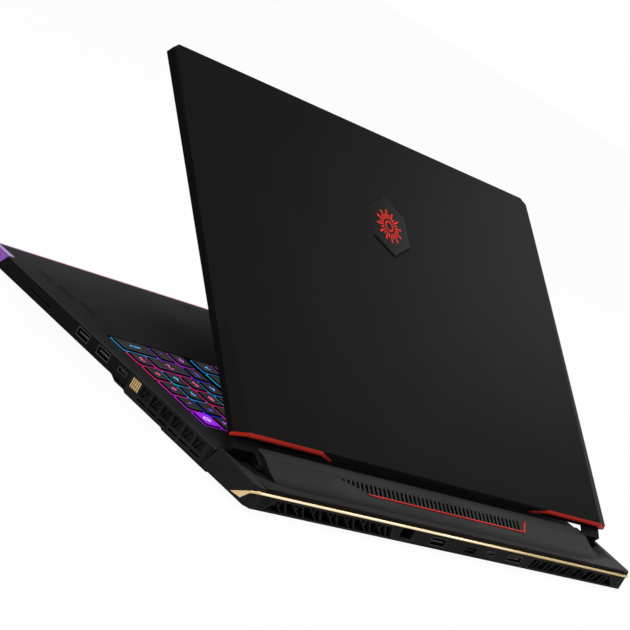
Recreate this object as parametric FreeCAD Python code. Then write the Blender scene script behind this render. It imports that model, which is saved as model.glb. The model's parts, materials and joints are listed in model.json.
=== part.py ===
import FreeCAD, Part
import math
import os

# Laptop computer: a wide 17 inch machine with a rear tail for its hinges and exhausts.
# Frame: +X is the user's right, +Y is the rear, +Z is up, millimetres.
# The origin is on the table under the middle of the base. The lid stands part open.
os.makedirs("parts", exist_ok=True)

# Base
WIDTH = 380.0
DEPTH = 298.0
DECK_Z = 16.0
DECK_T = 1.6
WALL_T = 2.0
DECK_BEVEL = 0.7
SIDE_LOW_Z = 5.5
BOTTOM_Z = 2.4
BOTTOM_T = 1.4
BOTTOM_BEVEL = 14.0
SILL_IN = 13.0
SILL_START_Y = 0.0
SILL_RUN = 8.0
TAIL_D = 45.0
SNUG = 0.2
RUN_GAP = 0.4

# Front light bar and corner lights
LIGHT_D = 2.5
LIGHT_H = 4.5
LIGHT_CORNER_IN = 5.5
LIGHT_CORNER_TOP = 22.3
LIGHT_CORNER_LOW = 14.5

# Lid, as it lies when closed
LID_GAP = 1.6
LID_T = 7.0
LID_STEP = 2.5
LID_LIP = 2.5
LID_TAPER = 3.3
LID_SIDE_GAP = 0.5
LID_WALL = 2.0
LID_SIDE_WALL = 3.0
LID_SKIN = 1.4
LID_EDGE = 1.2
LID_CUT_X = 5.8
LID_CUT_Y = 4.0
LID_HEEL = 0.6
FACET_W = 11.0
FACET_DROP = 3.0
BEZEL_T = 1.3
PANEL_T = 3.0
SCREEN_SIDE = 8.2
SCREEN_CHIN = 26.5
SCREEN_FROM_TOP = 9.0

# Trim on the lid
STRIP_L = 62.2
STRIP_LAP = 1.0
STRIP_H = 2.7
STRIP_DROP = 3.6
STRIP_PROUD = 0.4
STRIP_TAIL = 14.0
STRIP_TAIL_H = 1.1
BAND_D = 1.6
RIB_PITCH = 3.6
RIB_DEEP = 0.8
PLATE_W = 40.0
PLATE_L = 48.0
PLATE_T = 1.0
PLATE_SUNK = 0.4
PLATE_FROM_REAR = 182.0
CAMERA_R = 1.8
BUMPER_X = 70.0
BUMPER_R = 2.6
BUMPER_H = 1.2

# Hinge
AXIS_BACK = 17.2
AXIS_RISE = 0.05
REST_ANGLE = 37.1
ARM_GAP = 0.6
ARM_THIN_W = 12.5
ARM_W = 21.5
ARM_R_IN = 8.6
ARM_R_OUT = 11.6
ARM_PROUD = 0.7
ARM_FROM = 176.0
ARM_TO = 236.0
ARM_FOOT = 5.2
CRANK_T = 3.8
PIN_R = 1.5
PIN_CLEAR = 0.05
PIN_LENGTH = 20.0
LUG_R = 2.6
LUG_T = 4.0
BRACKET_FOOT = 15.0
BRACKET_T = 1.5

# Tail
TAIL_RISE = 0.4
TAIL_T = 3.0
DISH_DEEP = 1.1
DISH_LIP_RISE = 1.9
# Each dish point is its distance in from the side and its distance back from the front of the tail.
DISH_LIP = ((1.5, -4.0), (2.5, 8.0), (3.5, 22.0), (8.0, 32.0), (18.0, 39.0), (32.0, 42.0))
DISH_FLOOR = ((7.0, -4.0), (7.5, 8.0), (10.0, 20.0), (18.0, 27.0), (30.0, 31.0), (40.0, 32.5))
REAR_T = 2.6
GOLD_T = 1.4
GOLD_DROP = 3.6
GOLD_H = 1.5
BLOCK_W = 8.0
BLOCK_RISE = 1.7
BLOCK_FALL = 1.8
BLOCK_LEAN = 6.0
CORNER_CUT = 3.4
LEAF_T = 0.8
LEAF_TURN = 2.2
LEAF_L = 17.4
LEAF_TAIL = 8.7
LEAF_TIP_RISE = 1.4
LEAF_LOW_RISE = 2.2
LEAF_END_DROP = 2.0
HUMP_SIDE = 26.0
HUMP_T = 1.4
HUMP_FRONT = 4.4
HUMP_RISE = 7.3
CREASE_BACK = 14.5
CREASE_RISE = 6.5
SLOPE_BACK = 24.3
SLOPE_RISE = 1.9
HUMP_BACK = 33.0

# Slanted grille on the hump
GRILLE_LEFT_X = 104.0
GRILLE_RIGHT_X = -90.0
GRILLE_TAPER = 26.0
GRILLE_FROM = 1.2
GRILLE_TO = 9.4
GRILLE_T = 0.6
GRILLE_SLOT = 2.2
GRILLE_PITCH = 4.2
GRILLE_LEAN = -2.0
GRILLE_SLANT = 7.0
GRILLE_RIM = 0.7
TRIM_W = 0.9
TRIM_PROUD = 0.5

# Rear vents
VENT_IN_X = 62.0
VENT_LEFT_IN_X = 75.0
VENT_SIDE = 12.0
VENT_LOW_Z = 2.6
VENT_TOP_Z = 11.4
VENT_CUT = 8.0
VENT_RIM = 1.0
VENT_BAR = 1.1
VENT_UNITS = 7

# Side vents
SIDE_VENT_L = 83.2
SIDE_VENT_T = 2.6
SIDE_VENT_DROP = 1.0
CELL_MARGIN = 2.2
CELL_PITCH = 11.2
CELL_W = 9.0
CELL_FOOT = 5.0
CELL_DROP = 2.2
CELL_COUNT = 7
LOUVRE_H = 1.2
LOUVRE_RISE = 2.0

# Keyboard
KEY_SIDE = 17.0
KEY_ROW_PITCH = 17.8
KEY_GAP = 1.6
KEY_H = 1.9
KEY_PROUD = 0.4
KEY_DISH = 0.8
PAD_GAP = 6.0
PAD_UNIT = 16.0
KEY_BACK = 28.5
KEY_MARGIN = 1.6
STEM = 3.0
STEM_L = 2.6
STEM_CLEAR = 0.5
PLATE_STEP = 1.8
KEYPLATE_T = 1.0
KEYPLATE_RIM = 2.0

# Touchpad
TOUCH_X = -35.0
TOUCH_W = 130.0
TOUCH_FRONT = 13.0
TOUCH_GAP = 20.7
TOUCH_T = 2.4
TOUCH_SUNK = 0.15
TOUCH_CLEAR = 0.5

# Cooling
FAN_SIDE = 92.0
FAN_BACK = 59.6
FAN_R = 40.0
FAN_WALL = 1.5
FAN_SIDES = 36
FAN_TOP_Z = 10.0
FAN_SKIN = 1.0
INTAKE_R = 22.0
ROTOR_GAP = 1.5
HUB_R = 14.0
SHAFT_R = 2.0
SHAFT_CLEAR = 0.05
BLADE_T = 0.8
BLADE_COUNT = 13
BLADE_LEAN = 30.0
OUTLET_HALF = 37.0
SIDE_OUTLET_FRONT = 26.0
SIDE_OUTLET_BACK = 10.0
FIN_PITCH = 4.8
FIN_T = 0.6
PIPE_W = 5.0
PIPE_H = 2.6

# Inner modules
BOARD_Z = 5.2
BOARD_T = 1.4
BOARD_HALF = 54.0
BOARD_FRONT = 146.0
MEMORY_L = 68.0
MEMORY_W = 28.0
MEMORY_T = 2.4
BATTERY_SIDE = 65.0
BATTERY_TOP_Z = 11.0
SLOT_W = 2.2
SLOT_L = 9.0
SLOT_LEAN = 3.0
SCREW_HEAD_R = 2.4
SCREW_HEAD_H = 0.8
SCREW_R = 1.1
SCREW_L = 2.4

# Sockets
USB_A_W = 13.1
USB_A_H = 5.6
USB_C_W = 9.0
USB_C_H = 3.2
SOCKET_D = 13.0
SOCKET_WALL = 0.5
SOCKET_DROP = 4.8
CARD_W = 26.0
CARD_H = 2.4
LAN_W = 13.2
LAN_H = 8.2
LAN_WALL = 0.9
HDMI_W = 15.2
HDMI_H = 5.6
POWER_W = 11.4
POWER_H = 5.0
JACK_BORE_R = 1.75
JACK_R = 3.0

# Worked out from the sizes above
HALF_W = WIDTH / 2
Y_FRONT = -DEPTH / 2
Y_REAR = DEPTH / 2
CASE_FRONT = Y_FRONT + LIGHT_D
TAIL_REAR = Y_REAR - GOLD_T
DECK_UNDER = DECK_Z - DECK_T
FLOOR_Z = BOTTOM_Z + BOTTOM_T
LID_LOW_Z = DECK_Z + LID_GAP
LID_HIGH_Z = LID_LOW_Z + LID_T
TAIL_Y = Y_REAR - TAIL_D
LID_REAR_Y = TAIL_Y + LID_STEP
LID_FRONT_Y = Y_FRONT - LID_LIP
LID_LENGTH = LID_REAR_Y - LID_FRONT_Y
LID_LOW_W = WIDTH - 2 * LID_SIDE_GAP
LID_TOP_W = LID_LOW_W - 2 * LID_TAPER
SCREEN_W = LID_TOP_W - 2 * SCREEN_SIDE
SCREEN_H = LID_LENGTH - SCREEN_FROM_TOP - SCREEN_CHIN
STRIP_IN_X = LID_LOW_W / 2 - FACET_W - STRIP_L
AXIS_Y = TAIL_Y + AXIS_BACK
AXIS_Z = DECK_Z + AXIS_RISE
BLOCK_IN_X = HALF_W - BLOCK_W
BLOCK_TOP_FRONT = DECK_Z + BLOCK_RISE
BLOCK_TOP_REAR = BLOCK_TOP_FRONT - BLOCK_FALL
TAIL_TOP_Z = DECK_Z + TAIL_RISE
TAIL_UNDER_Z = TAIL_TOP_Z - TAIL_T
DISH_Z = DECK_Z - DISH_DEEP
DISH_LIP_Z = DECK_Z + DISH_LIP_RISE
GOLD_Z = DECK_Z - GOLD_DROP
LEAF_END_Z = GOLD_Z - LEAF_END_DROP
HUMP_HALF = HALF_W - HUMP_SIDE
HUMP_FRONT_Y = TAIL_Y + HUMP_FRONT
HUMP_TOP_Z = DECK_Z + HUMP_RISE
HUMP_CREASE = (TAIL_Y + CREASE_BACK, DECK_Z + CREASE_RISE)
HUMP_FOOT_SLOPE = (TAIL_Y + SLOPE_BACK, DECK_Z + SLOPE_RISE)
HUMP_END_Y = TAIL_Y + HUMP_BACK
ARM_IN_X = HUMP_HALF + ARM_GAP
ARM_STEP_X = ARM_IN_X + ARM_THIN_W
ARM_OUT_X = ARM_IN_X + ARM_W
VENT_OUT_X = HALF_W - VENT_SIDE
SIDE_VENT_FROM = TAIL_Y - SIDE_VENT_L
SIDE_VENT_TO = TAIL_Y - SNUG
SIDE_VENT_Z = DECK_Z - SIDE_VENT_DROP
CELL_FIRST_Y = SIDE_VENT_FROM + CELL_MARGIN
CELL_LOW_Z = BOTTOM_Z + CELL_FOOT
CELL_HIGH_Z = DECK_Z - CELL_DROP
LOUVRE_Z = BOTTOM_Z + LOUVRE_RISE
KEY_LEFT_X = KEY_SIDE - HALF_W
PAD_LEFT_X = HALF_W - KEY_SIDE - 4 * PAD_UNIT
KEY_UNIT = (PAD_LEFT_X - PAD_GAP - KEY_LEFT_X) / 15
KEY_REAR_Y = TAIL_Y - KEY_BACK
TOUCH_FROM = Y_FRONT + TOUCH_FRONT
FAN_X = HALF_W - FAN_SIDE
FAN_Y = TAIL_REAR - FAN_BACK
SIDE_OUTLET_FROM = FAN_Y - SIDE_OUTLET_FRONT
SIDE_OUTLET_TO = FAN_Y + SIDE_OUTLET_BACK
FIN_TOP_Z = FAN_TOP_Z
BATTERY_HALF = HALF_W - BATTERY_SIDE
SOCKET_Z = DECK_Z - SOCKET_DROP


def vec(x, y, z):
    return FreeCAD.Vector(x, y, z)


def flat(points):
    return Part.Face(Part.makePolygon(points + [points[0]]))


def box(x0, x1, y0, y1, z0, z1):
    return Part.makeBox(x1 - x0, y1 - y0, z1 - z0, vec(x0, y0, z0))


def prism_x(outline, x0, x1):
    """Outline of (y, z) points carried along X."""
    return flat([vec(x0, y, z) for y, z in outline]).extrude(vec(x1 - x0, 0, 0))


def prism_y(outline, y0, y1):
    """Outline of (x, z) points carried along Y."""
    return flat([vec(x, y0, z) for x, z in outline]).extrude(vec(0, y1 - y0, 0))


def prism_z(outline, z0, z1):
    """Outline of (x, y) points carried along Z."""
    return flat([vec(x, y, z0) for x, y in outline]).extrude(vec(0, 0, z1 - z0))


def loft_z(*levels):
    """Ruled solid through plan outlines, each level an (outline, z) pair."""
    wires = []
    for outline, z in levels:
        points = [vec(x, y, z) for x, y in outline]
        wires.append(Part.makePolygon(points + [points[0]]))
    return Part.makeLoft(wires, True, True)


def loft_x(*stations):
    """Ruled solid through (y, z) outlines, each station an (outline, x) pair."""
    wires = []
    for outline, x in stations:
        points = [vec(x, y, z) for y, z in outline]
        wires.append(Part.makePolygon(points + [points[0]]))
    return Part.makeLoft(wires, True, True)


def post(x, y, z0, z1, radius):
    return Part.makeCylinder(radius, z1 - z0, vec(x, y, z0))


def peg(x, y, z0, z1, radius, sides=10):
    """Post with flat sides."""
    angles = [math.radians(360.0 / sides * side) for side in range(sides)]
    return prism_z([(x + radius * math.cos(a), y + radius * math.sin(a)) for a in angles], z0, z1)


def rod_x(x0, x1, y, z, radius):
    return Part.makeCylinder(radius, x1 - x0, vec(x0, y, z), vec(1, 0, 0))


def rect(x0, x1, y0, y1):
    return [(x0, y0), (x1, y0), (x1, y1), (x0, y1)]


def mirror(shape):
    return shape.mirror(vec(0, 0, 0), vec(1, 0, 0))


def both(shape):
    return [shape, mirror(shape)]


def join(shapes):
    return shapes[0].multiFuse(shapes[1:]).removeSplitter()


def open_lid(shape):
    """Swings a lid piece from closed to the angle it stands at."""
    turned = shape.copy()
    turned.rotate(vec(0, AXIS_Y, AXIS_Z), vec(-1, 0, 0), REST_ANGLE)
    return turned


def polar(radius, degrees):
    """Point (y, z) about the hinge axis; 180 degrees points at the user."""
    angle = math.radians(degrees)
    return (AXIS_Y + radius * math.cos(angle), AXIS_Z + radius * math.sin(angle))


def save(node, *solids):
    shape = solids[0] if len(solids) == 1 else Part.makeCompound(list(solids))
    shape.exportStep("parts/" + node + ".step")


# Corner lights: faceted pieces let into the front corners of the case.
def corner_light():
    side = HALF_W
    inner = HALF_W - LIGHT_CORNER_IN
    top = [(side, Y_FRONT + LIGHT_CORNER_TOP), (side - 0.8, Y_FRONT + 2.4),
           (side - 4.0, Y_FRONT + 1.0), (inner, Y_FRONT + LIGHT_CORNER_TOP - 0.8)]
    middle_y = Y_FRONT + (LIGHT_CORNER_TOP + LIGHT_CORNER_LOW) / 2
    middle = [(side, middle_y), (side, Y_FRONT + 1.8),
              (side - 4.0, Y_FRONT), (inner, middle_y - 0.8)]
    low = [(side, Y_FRONT + LIGHT_CORNER_LOW), (side - 1.4, Y_FRONT + 3.4),
           (side - 4.5, Y_FRONT + 1.6), (inner, Y_FRONT + LIGHT_CORNER_LOW - 0.8)]
    middle_z = (DECK_Z + SIDE_LOW_Z) / 2
    return loft_z((low, SIDE_LOW_Z), (middle, middle_z), (top, DECK_Z))


def corner_space():
    """The corner of the case that the light takes up, squared off outside."""
    def level(reach):
        return [(HALF_W, Y_FRONT + reach), (HALF_W, Y_FRONT), (HALF_W - LIGHT_CORNER_IN, Y_FRONT),
                (HALF_W - LIGHT_CORNER_IN, Y_FRONT + reach - 0.8)]
    middle = (LIGHT_CORNER_TOP + LIGHT_CORNER_LOW) / 2
    return loft_z((level(LIGHT_CORNER_LOW), SIDE_LOW_Z), (level(middle), (DECK_Z + SIDE_LOW_Z) / 2),
                  (level(LIGHT_CORNER_TOP), DECK_Z))


light_corners = both(corner_light())
save("light_corners", *light_corners)
light_reach = HALF_W - LIGHT_CORNER_IN
save("front_light_bar", prism_x([(CASE_FRONT, DECK_Z), (CASE_FRONT, DECK_Z - LIGHT_H),
                                 (Y_FRONT + 0.8, DECK_Z - LIGHT_H + 0.6), (Y_FRONT, DECK_Z - 1.6),
                                 (Y_FRONT + 0.9, DECK_Z)], -light_reach, light_reach))


# Keyboard: rows of caps on guide stems, widths in key units from left to right.
MAIN_ROWS = [[1.0] * 15,
             [1.0] * 13 + [2.0],
             [1.5] + [1.0] * 12 + [1.5],
             [1.75] + [1.0] * 11 + [2.25],
             [2.25] + [1.0] * 10 + [1.75, 1.0],
             [1.25] * 3 + [5.25] + [1.0] * 6]
PAD_ROWS = [[1.0] * 4, [1.0] * 4, [1.0] * 4, [1.0] * 4, [1.0, 2.0, 1.0], [1.0, 1.0, 2.0]]
SPACE_BAR = (5, 3)
POWER_KEY = (0, 18)
key_low_z = DECK_Z + KEY_PROUD - KEY_H
plate_top_z = key_low_z - PLATE_STEP
stem_holes = []


def key_cap(x0, x1, y0, y1):
    """Cap with sloped sides and a square guide stem below its middle."""
    top_z = key_low_z + KEY_H
    cap = loft_z((rect(x0, x1, y0, y1), key_low_z),
                 (rect(x0 + KEY_DISH, x1 - KEY_DISH, y0 + KEY_DISH, y1 - KEY_DISH), top_z))
    x = (x0 + x1) / 2
    y = (y0 + y1) / 2
    half = STEM / 2
    hole = half + STEM_CLEAR
    stem_holes.append((x - hole, x + hole, y - hole, y + hole))
    return join([cap, box(x - half, x + half, y - half, y + half, key_low_z - STEM_L, key_low_z)])


def key_row(row):
    """All caps of one row: the main block, then the number pad."""
    rear = KEY_REAR_Y - KEY_ROW_PITCH * row
    caps = []
    for start, unit, widths in ((KEY_LEFT_X, KEY_UNIT, MAIN_ROWS[row]),
                                (PAD_LEFT_X, PAD_UNIT, PAD_ROWS[row])):
        x = start
        for width in widths:
            caps.append(key_cap(x + KEY_GAP / 2, x + width * unit - KEY_GAP / 2,
                                rear - KEY_ROW_PITCH + KEY_GAP, rear))
            x += width * unit
    return caps


for row in range(len(MAIN_ROWS)):
    caps = key_row(row)
    if row == SPACE_BAR[0]:
        save("space_bar", caps.pop(SPACE_BAR[1]))
    if row == POWER_KEY[0]:
        save("power_key", caps.pop(POWER_KEY[1]))
    save("key_row_%d" % (row + 1), *caps)

well_x0 = KEY_LEFT_X - KEY_MARGIN
well_x1 = PAD_LEFT_X + 4 * PAD_UNIT + KEY_MARGIN
well_y0 = KEY_REAR_Y - KEY_ROW_PITCH * len(MAIN_ROWS) + KEY_GAP - KEY_MARGIN
well_y1 = KEY_REAR_Y + KEY_MARGIN
rim = KEYPLATE_RIM
pan = box(well_x0 - rim, well_x1 + rim, well_y0 - rim, well_y1 + rim, plate_top_z - KEYPLATE_T, DECK_UNDER)
pan = pan.cut(box(well_x0, well_x1, well_y0, well_y1, plate_top_z, DECK_UNDER))
holes = [box(x0, x1, y0, y1, plate_top_z - KEYPLATE_T, plate_top_z) for x0, x1, y0, y1 in stem_holes]
save("keyboard_plate", pan.cut(holes))


# Touchpad: a glass pad that clicks down in its window.
touch_x0 = TOUCH_X - TOUCH_W / 2
touch_x1 = TOUCH_X + TOUCH_W / 2
touch_y1 = well_y0 - TOUCH_GAP
touch_top = DECK_Z - TOUCH_SUNK
save("touchpad", box(touch_x0, touch_x1, TOUCH_FROM, touch_y1, touch_top - TOUCH_T, touch_top))


# Sockets: folded metal shells with a contact tongue, open towards the outside (+X when built).
def shell_socket(width, height, depth, tongue):
    half_w = width / 2
    half_h = height / 2
    shell = box(-depth, 0, -half_w, half_w, -half_h, half_h)
    wall = SOCKET_WALL
    shell = shell.cut(box(wall - depth, 0, wall - half_w, half_w - wall, wall - half_h, half_h - wall))
    blade = box(wall - depth, -1.0, wall * 3 - half_w, half_w - wall * 3, -tongue / 2, tongue / 2)
    return join([shell, blade])


def place(shape, turn, x, y, z):
    moved = shape.copy()
    moved.rotate(vec(0, 0, 0), vec(0, 0, 1), turn)
    moved.translate(vec(x, y, z))
    return moved


RIGHT_USB_A = (SIDE_VENT_FROM - 52.6, SIDE_VENT_FROM - 29.4)
RIGHT_USB_C = SIDE_VENT_FROM - 7.8
CARD_Y = SIDE_VENT_FROM - 101.8
LEFT_USB_A = SIDE_VENT_FROM - 29.4
LEFT_JACK = SIDE_VENT_FROM - 54.8
usb_a = shell_socket(USB_A_W, USB_A_H, SOCKET_D, 1.2)
usb_c = shell_socket(USB_C_W, USB_C_H, SOCKET_D, 0.7)
save("usb_a_sockets", *[place(usb_a, 0, HALF_W, y, SOCKET_Z) for y in RIGHT_USB_A],
     place(usb_a, 180, -HALF_W, LEFT_USB_A, SOCKET_Z))
rear_usb_c_x = -34.3
rear_port_z = BOTTOM_Z + 4.8
save("usb_c_sockets", place(usb_c, 0, HALF_W, RIGHT_USB_C, SOCKET_Z),
     place(usb_c, 90, rear_usb_c_x, TAIL_REAR, rear_port_z))
card = shell_socket(CARD_W, CARD_H, SOCKET_D * 1.8, 0.4)
card_z = DECK_Z - 6.3
save("card_reader", place(card, 0, HALF_W, CARD_Y, card_z))
hdmi_x = 20.0
save("hdmi_socket", place(shell_socket(HDMI_W, HDMI_H, SOCKET_D, 1.0), 90, hdmi_x, TAIL_REAR, rear_port_z))
display_x = -60.0
save("display_socket", place(shell_socket(HDMI_W, USB_C_H * 1.4, SOCKET_D, 0.9), 90,
                             display_x, TAIL_REAR, rear_port_z))
power_x = -13.5
power_z = BOTTOM_Z + 4.0
save("power_inlet", place(shell_socket(POWER_W, POWER_H, SOCKET_D, 1.4), 90, power_x, TAIL_REAR, power_z))
lan_x = 51.5
lan_z = BOTTOM_Z + 5.9
lan = box(lan_x - LAN_W / 2, lan_x + LAN_W / 2, TAIL_REAR - SOCKET_D, TAIL_REAR,
          lan_z - LAN_H / 2, lan_z + LAN_H / 2)
lan_hollow = box(lan_x - LAN_W / 2 + LAN_WALL, lan_x + LAN_W / 2 - LAN_WALL,
                 TAIL_REAR - SOCKET_D + LAN_WALL, TAIL_REAR,
                 lan_z - LAN_H / 2 + LAN_WALL, lan_z + LAN_H / 2 - LAN_WALL)
save("network_socket", lan.cut(lan_hollow))
jack = rod_x(-HALF_W, -HALF_W + SOCKET_D, LEFT_JACK, SOCKET_Z, JACK_R)
save("audio_jack", jack.cut(rod_x(-HALF_W, -HALF_W + SOCKET_D - 1.0, LEFT_JACK, SOCKET_Z, JACK_BORE_R)))


# Top case: the deck with its side walls, open below, with windows for keys, pad and sockets.
seam_top = TAIL_Y + BLOCK_LEAN * (DECK_Z - SIDE_LOW_Z) / (BLOCK_TOP_FRONT - BOTTOM_Z)
case = box(-HALF_W, HALF_W, CASE_FRONT, TAIL_Y, SIDE_LOW_Z, DECK_Z)
case = case.cut(box(WALL_T - HALF_W, HALF_W - WALL_T, CASE_FRONT + WALL_T, TAIL_Y, SIDE_LOW_Z, DECK_UNDER))
arm_slot_front = AXIS_Y - ARM_R_OUT - ARM_PROUD - RUN_GAP
arm_slot_rear = AXIS_Y - math.sqrt(ARM_R_IN ** 2 - (AXIS_Z - TAIL_UNDER_Z) ** 2) + RUN_GAP
arm_slot = box(HUMP_HALF, ARM_OUT_X + RUN_GAP, arm_slot_front, arm_slot_rear, TAIL_UNDER_Z, DISH_LIP_Z)
vent_window = box(HALF_W - SIDE_VENT_T - SNUG, HALF_W, SIDE_VENT_FROM - SNUG, TAIL_Y, SIDE_LOW_Z,
                  SIDE_VENT_Z + SNUG)


def window(y, z, width, height, side):
    x0, x1 = (HALF_W - WALL_T, HALF_W) if side > 0 else (-HALF_W, WALL_T - HALF_W)
    return box(x0, x1, y - width / 2, y + width / 2, z - height / 2, z + height / 2)


deck_edge = prism_y([(HALF_W - DECK_BEVEL, DECK_Z), (HALF_W, DECK_Z - DECK_BEVEL), (HALF_W, DECK_Z)],
                    Y_FRONT, seam_top)
case_cuts = both(deck_edge) + both(vent_window) + both(arm_slot) + both(corner_space())
case_cuts.append(box(well_x0, well_x1, well_y0, well_y1, DECK_UNDER, DECK_Z))
case_cuts.append(box(touch_x0 - TOUCH_CLEAR, touch_x1 + TOUCH_CLEAR, TOUCH_FROM - TOUCH_CLEAR,
                     touch_y1 + TOUCH_CLEAR, DECK_UNDER, DECK_Z))
for port_y in RIGHT_USB_A:
    case_cuts.append(window(port_y, SOCKET_Z, USB_A_W, USB_A_H, 1))
case_cuts.append(window(LEFT_USB_A, SOCKET_Z, USB_A_W, USB_A_H, -1))
case_cuts.append(window(RIGHT_USB_C, SOCKET_Z, USB_C_W, USB_C_H, 1))
case_cuts.append(window(CARD_Y, card_z, CARD_W, CARD_H, 1))
case_cuts.append(rod_x(-HALF_W, WALL_T - HALF_W, LEFT_JACK, SOCKET_Z, JACK_R))
wedge = prism_x([(TAIL_Y, SIDE_LOW_Z), (seam_top - SNUG, DECK_Z), (TAIL_Y, DECK_Z)], BLOCK_IN_X, HALF_W)


# Side vents: moulded panels with square cells above a row of short louvres.
def side_vent():
    x0 = HALF_W - SIDE_VENT_T
    panel = prism_x([(SIDE_VENT_FROM, BOTTOM_Z + 1.0), (SIDE_VENT_FROM, SIDE_VENT_Z),
                     (SIDE_VENT_TO, SIDE_VENT_Z), (SIDE_VENT_TO, BOTTOM_Z),
                     (SIDE_VENT_FROM + 2.0, BOTTOM_Z)], x0, HALF_W)
    cuts = []
    for cell in range(CELL_COUNT):
        y = CELL_FIRST_Y + CELL_PITCH * cell
        cuts.append(box(x0, HALF_W, y, y + CELL_W, CELL_LOW_Z, CELL_HIGH_Z))
        if cell:
            cuts.append(box(x0, HALF_W, y, y + CELL_W, LOUVRE_Z, LOUVRE_Z + LOUVRE_H))
    bars = []
    for cell in range(1, CELL_COUNT):
        y = CELL_FIRST_Y + CELL_PITCH * cell
        bars.append(prism_x([(y, CELL_LOW_Z), (y + 1.2, CELL_LOW_Z), (y + CELL_W * 0.55, CELL_HIGH_Z),
                             (y + CELL_W * 0.55 - 1.2, CELL_HIGH_Z)], x0, HALF_W - 1.0))
    return join([panel.cut(cuts)] + bars)


right_vent = side_vent()
save("side_vent_right", right_vent)
save("side_vent_left", mirror(right_vent))


# Bottom cover: a shallow pan with bevelled sides, side sills and intake slots under the fans.
def plan(inset):
    return rect(-HALF_W + inset, HALF_W - inset, CASE_FRONT + inset, TAIL_REAR - REAR_T)


pan_out = loft_z((plan(BOTTOM_BEVEL), BOTTOM_Z), (plan(SNUG), SIDE_LOW_Z))
pan_in = loft_z((plan(BOTTOM_BEVEL + WALL_T), FLOOR_Z), (plan(WALL_T + SNUG), SIDE_LOW_Z))
sill_out = HALF_W - SIDE_VENT_T - SNUG
sill = prism_x([(SILL_START_Y, SIDE_LOW_Z), (SILL_START_Y + SILL_RUN, BOTTOM_Z),
                (TAIL_REAR - REAR_T, BOTTOM_Z), (TAIL_REAR - REAR_T, FLOOR_Z),
                (SILL_START_Y + SILL_RUN, FLOOR_Z)], sill_out - SILL_IN, sill_out)
standoffs = []
board_front = TAIL_Y - BOARD_FRONT
stand_x = HALF_W - 40.0
for x, y in ((-stand_x, board_front + 6), (stand_x, board_front + 6), (-46, TAIL_Y + 4), (46, TAIL_Y + 4)):
    standoffs.append(peg(x, y, FLOOR_Z - 0.5, BOARD_Z, 2.5))
screw_x = HALF_W - 30.0
screw_places = [(x, y) for y in (Y_FRONT + 23.0, TAIL_Y + 34.0) for x in (-screw_x, -42.0, 42.0, screw_x)]
bottom_cuts = []
for x, y in screw_places:
    bottom_cuts.append(peg(x, y, BOTTOM_Z, BOTTOM_Z + SCREW_HEAD_H, SCREW_HEAD_R + SNUG))
    bottom_cuts.append(peg(x, y, BOTTOM_Z, FLOOR_Z, SCREW_R + SNUG))
for side in (-1, 1):
    for column in range(7):
        for line in range(3):
            x = side * FAN_X + (column - 3) * SLOT_W * 3
            y = FAN_Y + (line - 1.5) * SLOT_L * 1.3
            bottom_cuts.append(prism_z([(x, y), (x + SLOT_W, y), (x + SLOT_W + SLOT_LEAN, y + SLOT_L),
                                        (x + SLOT_LEAN, y + SLOT_L)], BOTTOM_Z, FLOOR_Z))
side_room = box(HALF_W - 18.5, HALF_W, SIDE_VENT_FROM, TAIL_REAR, FLOOR_Z, SIDE_LOW_Z)
vent_room = box(sill_out, HALF_W, SIDE_VENT_FROM, TAIL_REAR, BOTTOM_Z, SIDE_LOW_Z)
block_room = box(BLOCK_IN_X - SNUG, HALF_W, TAIL_Y, TAIL_REAR, BOTTOM_Z, SIDE_LOW_Z)
bottom = join([pan_out.cut(pan_in)] + both(sill) + standoffs)
bottom_cuts += both(side_room) + both(vent_room) + both(block_room)
save("bottom_cover", bottom.cut(bottom_cuts))
screws = []
for x, y in screw_places:
    head = peg(x, y, BOTTOM_Z, BOTTOM_Z + SCREW_HEAD_H, SCREW_HEAD_R)
    screws.append(join([head, peg(x, y, BOTTOM_Z, BOTTOM_Z + SCREW_L, SCREW_R)]))
save("bottom_screws", *screws)


# Feet: rubber bars with bevelled ends, two in front, a long one and two corner pads behind.
def foot(x0, x1, y0, y1):
    bevel = 1.0
    return loft_z((rect(x0 + bevel, x1 - bevel, y0 + bevel, y1 - bevel), 0),
                  (rect(x0, x1, y0, y1), BOTTOM_Z))


front_foot = foot(HALF_W - 110.0, HALF_W - 40.0, Y_FRONT + 25.0, Y_FRONT + 35.0)
rear_foot = foot(60.0 - HALF_W, HALF_W - 60.0, TAIL_Y + 12.0, TAIL_Y + 24.0)
side_foot = foot(sill_out - 10.0, sill_out - 0.5, TAIL_Y - 46.0, TAIL_Y + 2.0)
save("rubber_feet", *both(front_foot), rear_foot, *both(side_foot))


# Tail cover: a dished plate between the corner blocks with a raised hump in its middle.
def dish():
    """Space above the dish: a wide outline at the lip drawn in to a smaller one at the floor."""
    right_lip = [(HALF_W - inward, TAIL_Y + back) for inward, back in DISH_LIP]
    right_floor = [(HALF_W - inward, TAIL_Y + back) for inward, back in DISH_FLOOR]
    lip = right_lip + [(-x, y) for x, y in reversed(right_lip)]
    floor = right_floor + [(-x, y) for x, y in reversed(right_floor)]
    return loft_z((floor, DISH_Z), (lip, DISH_LIP_Z))


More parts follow.
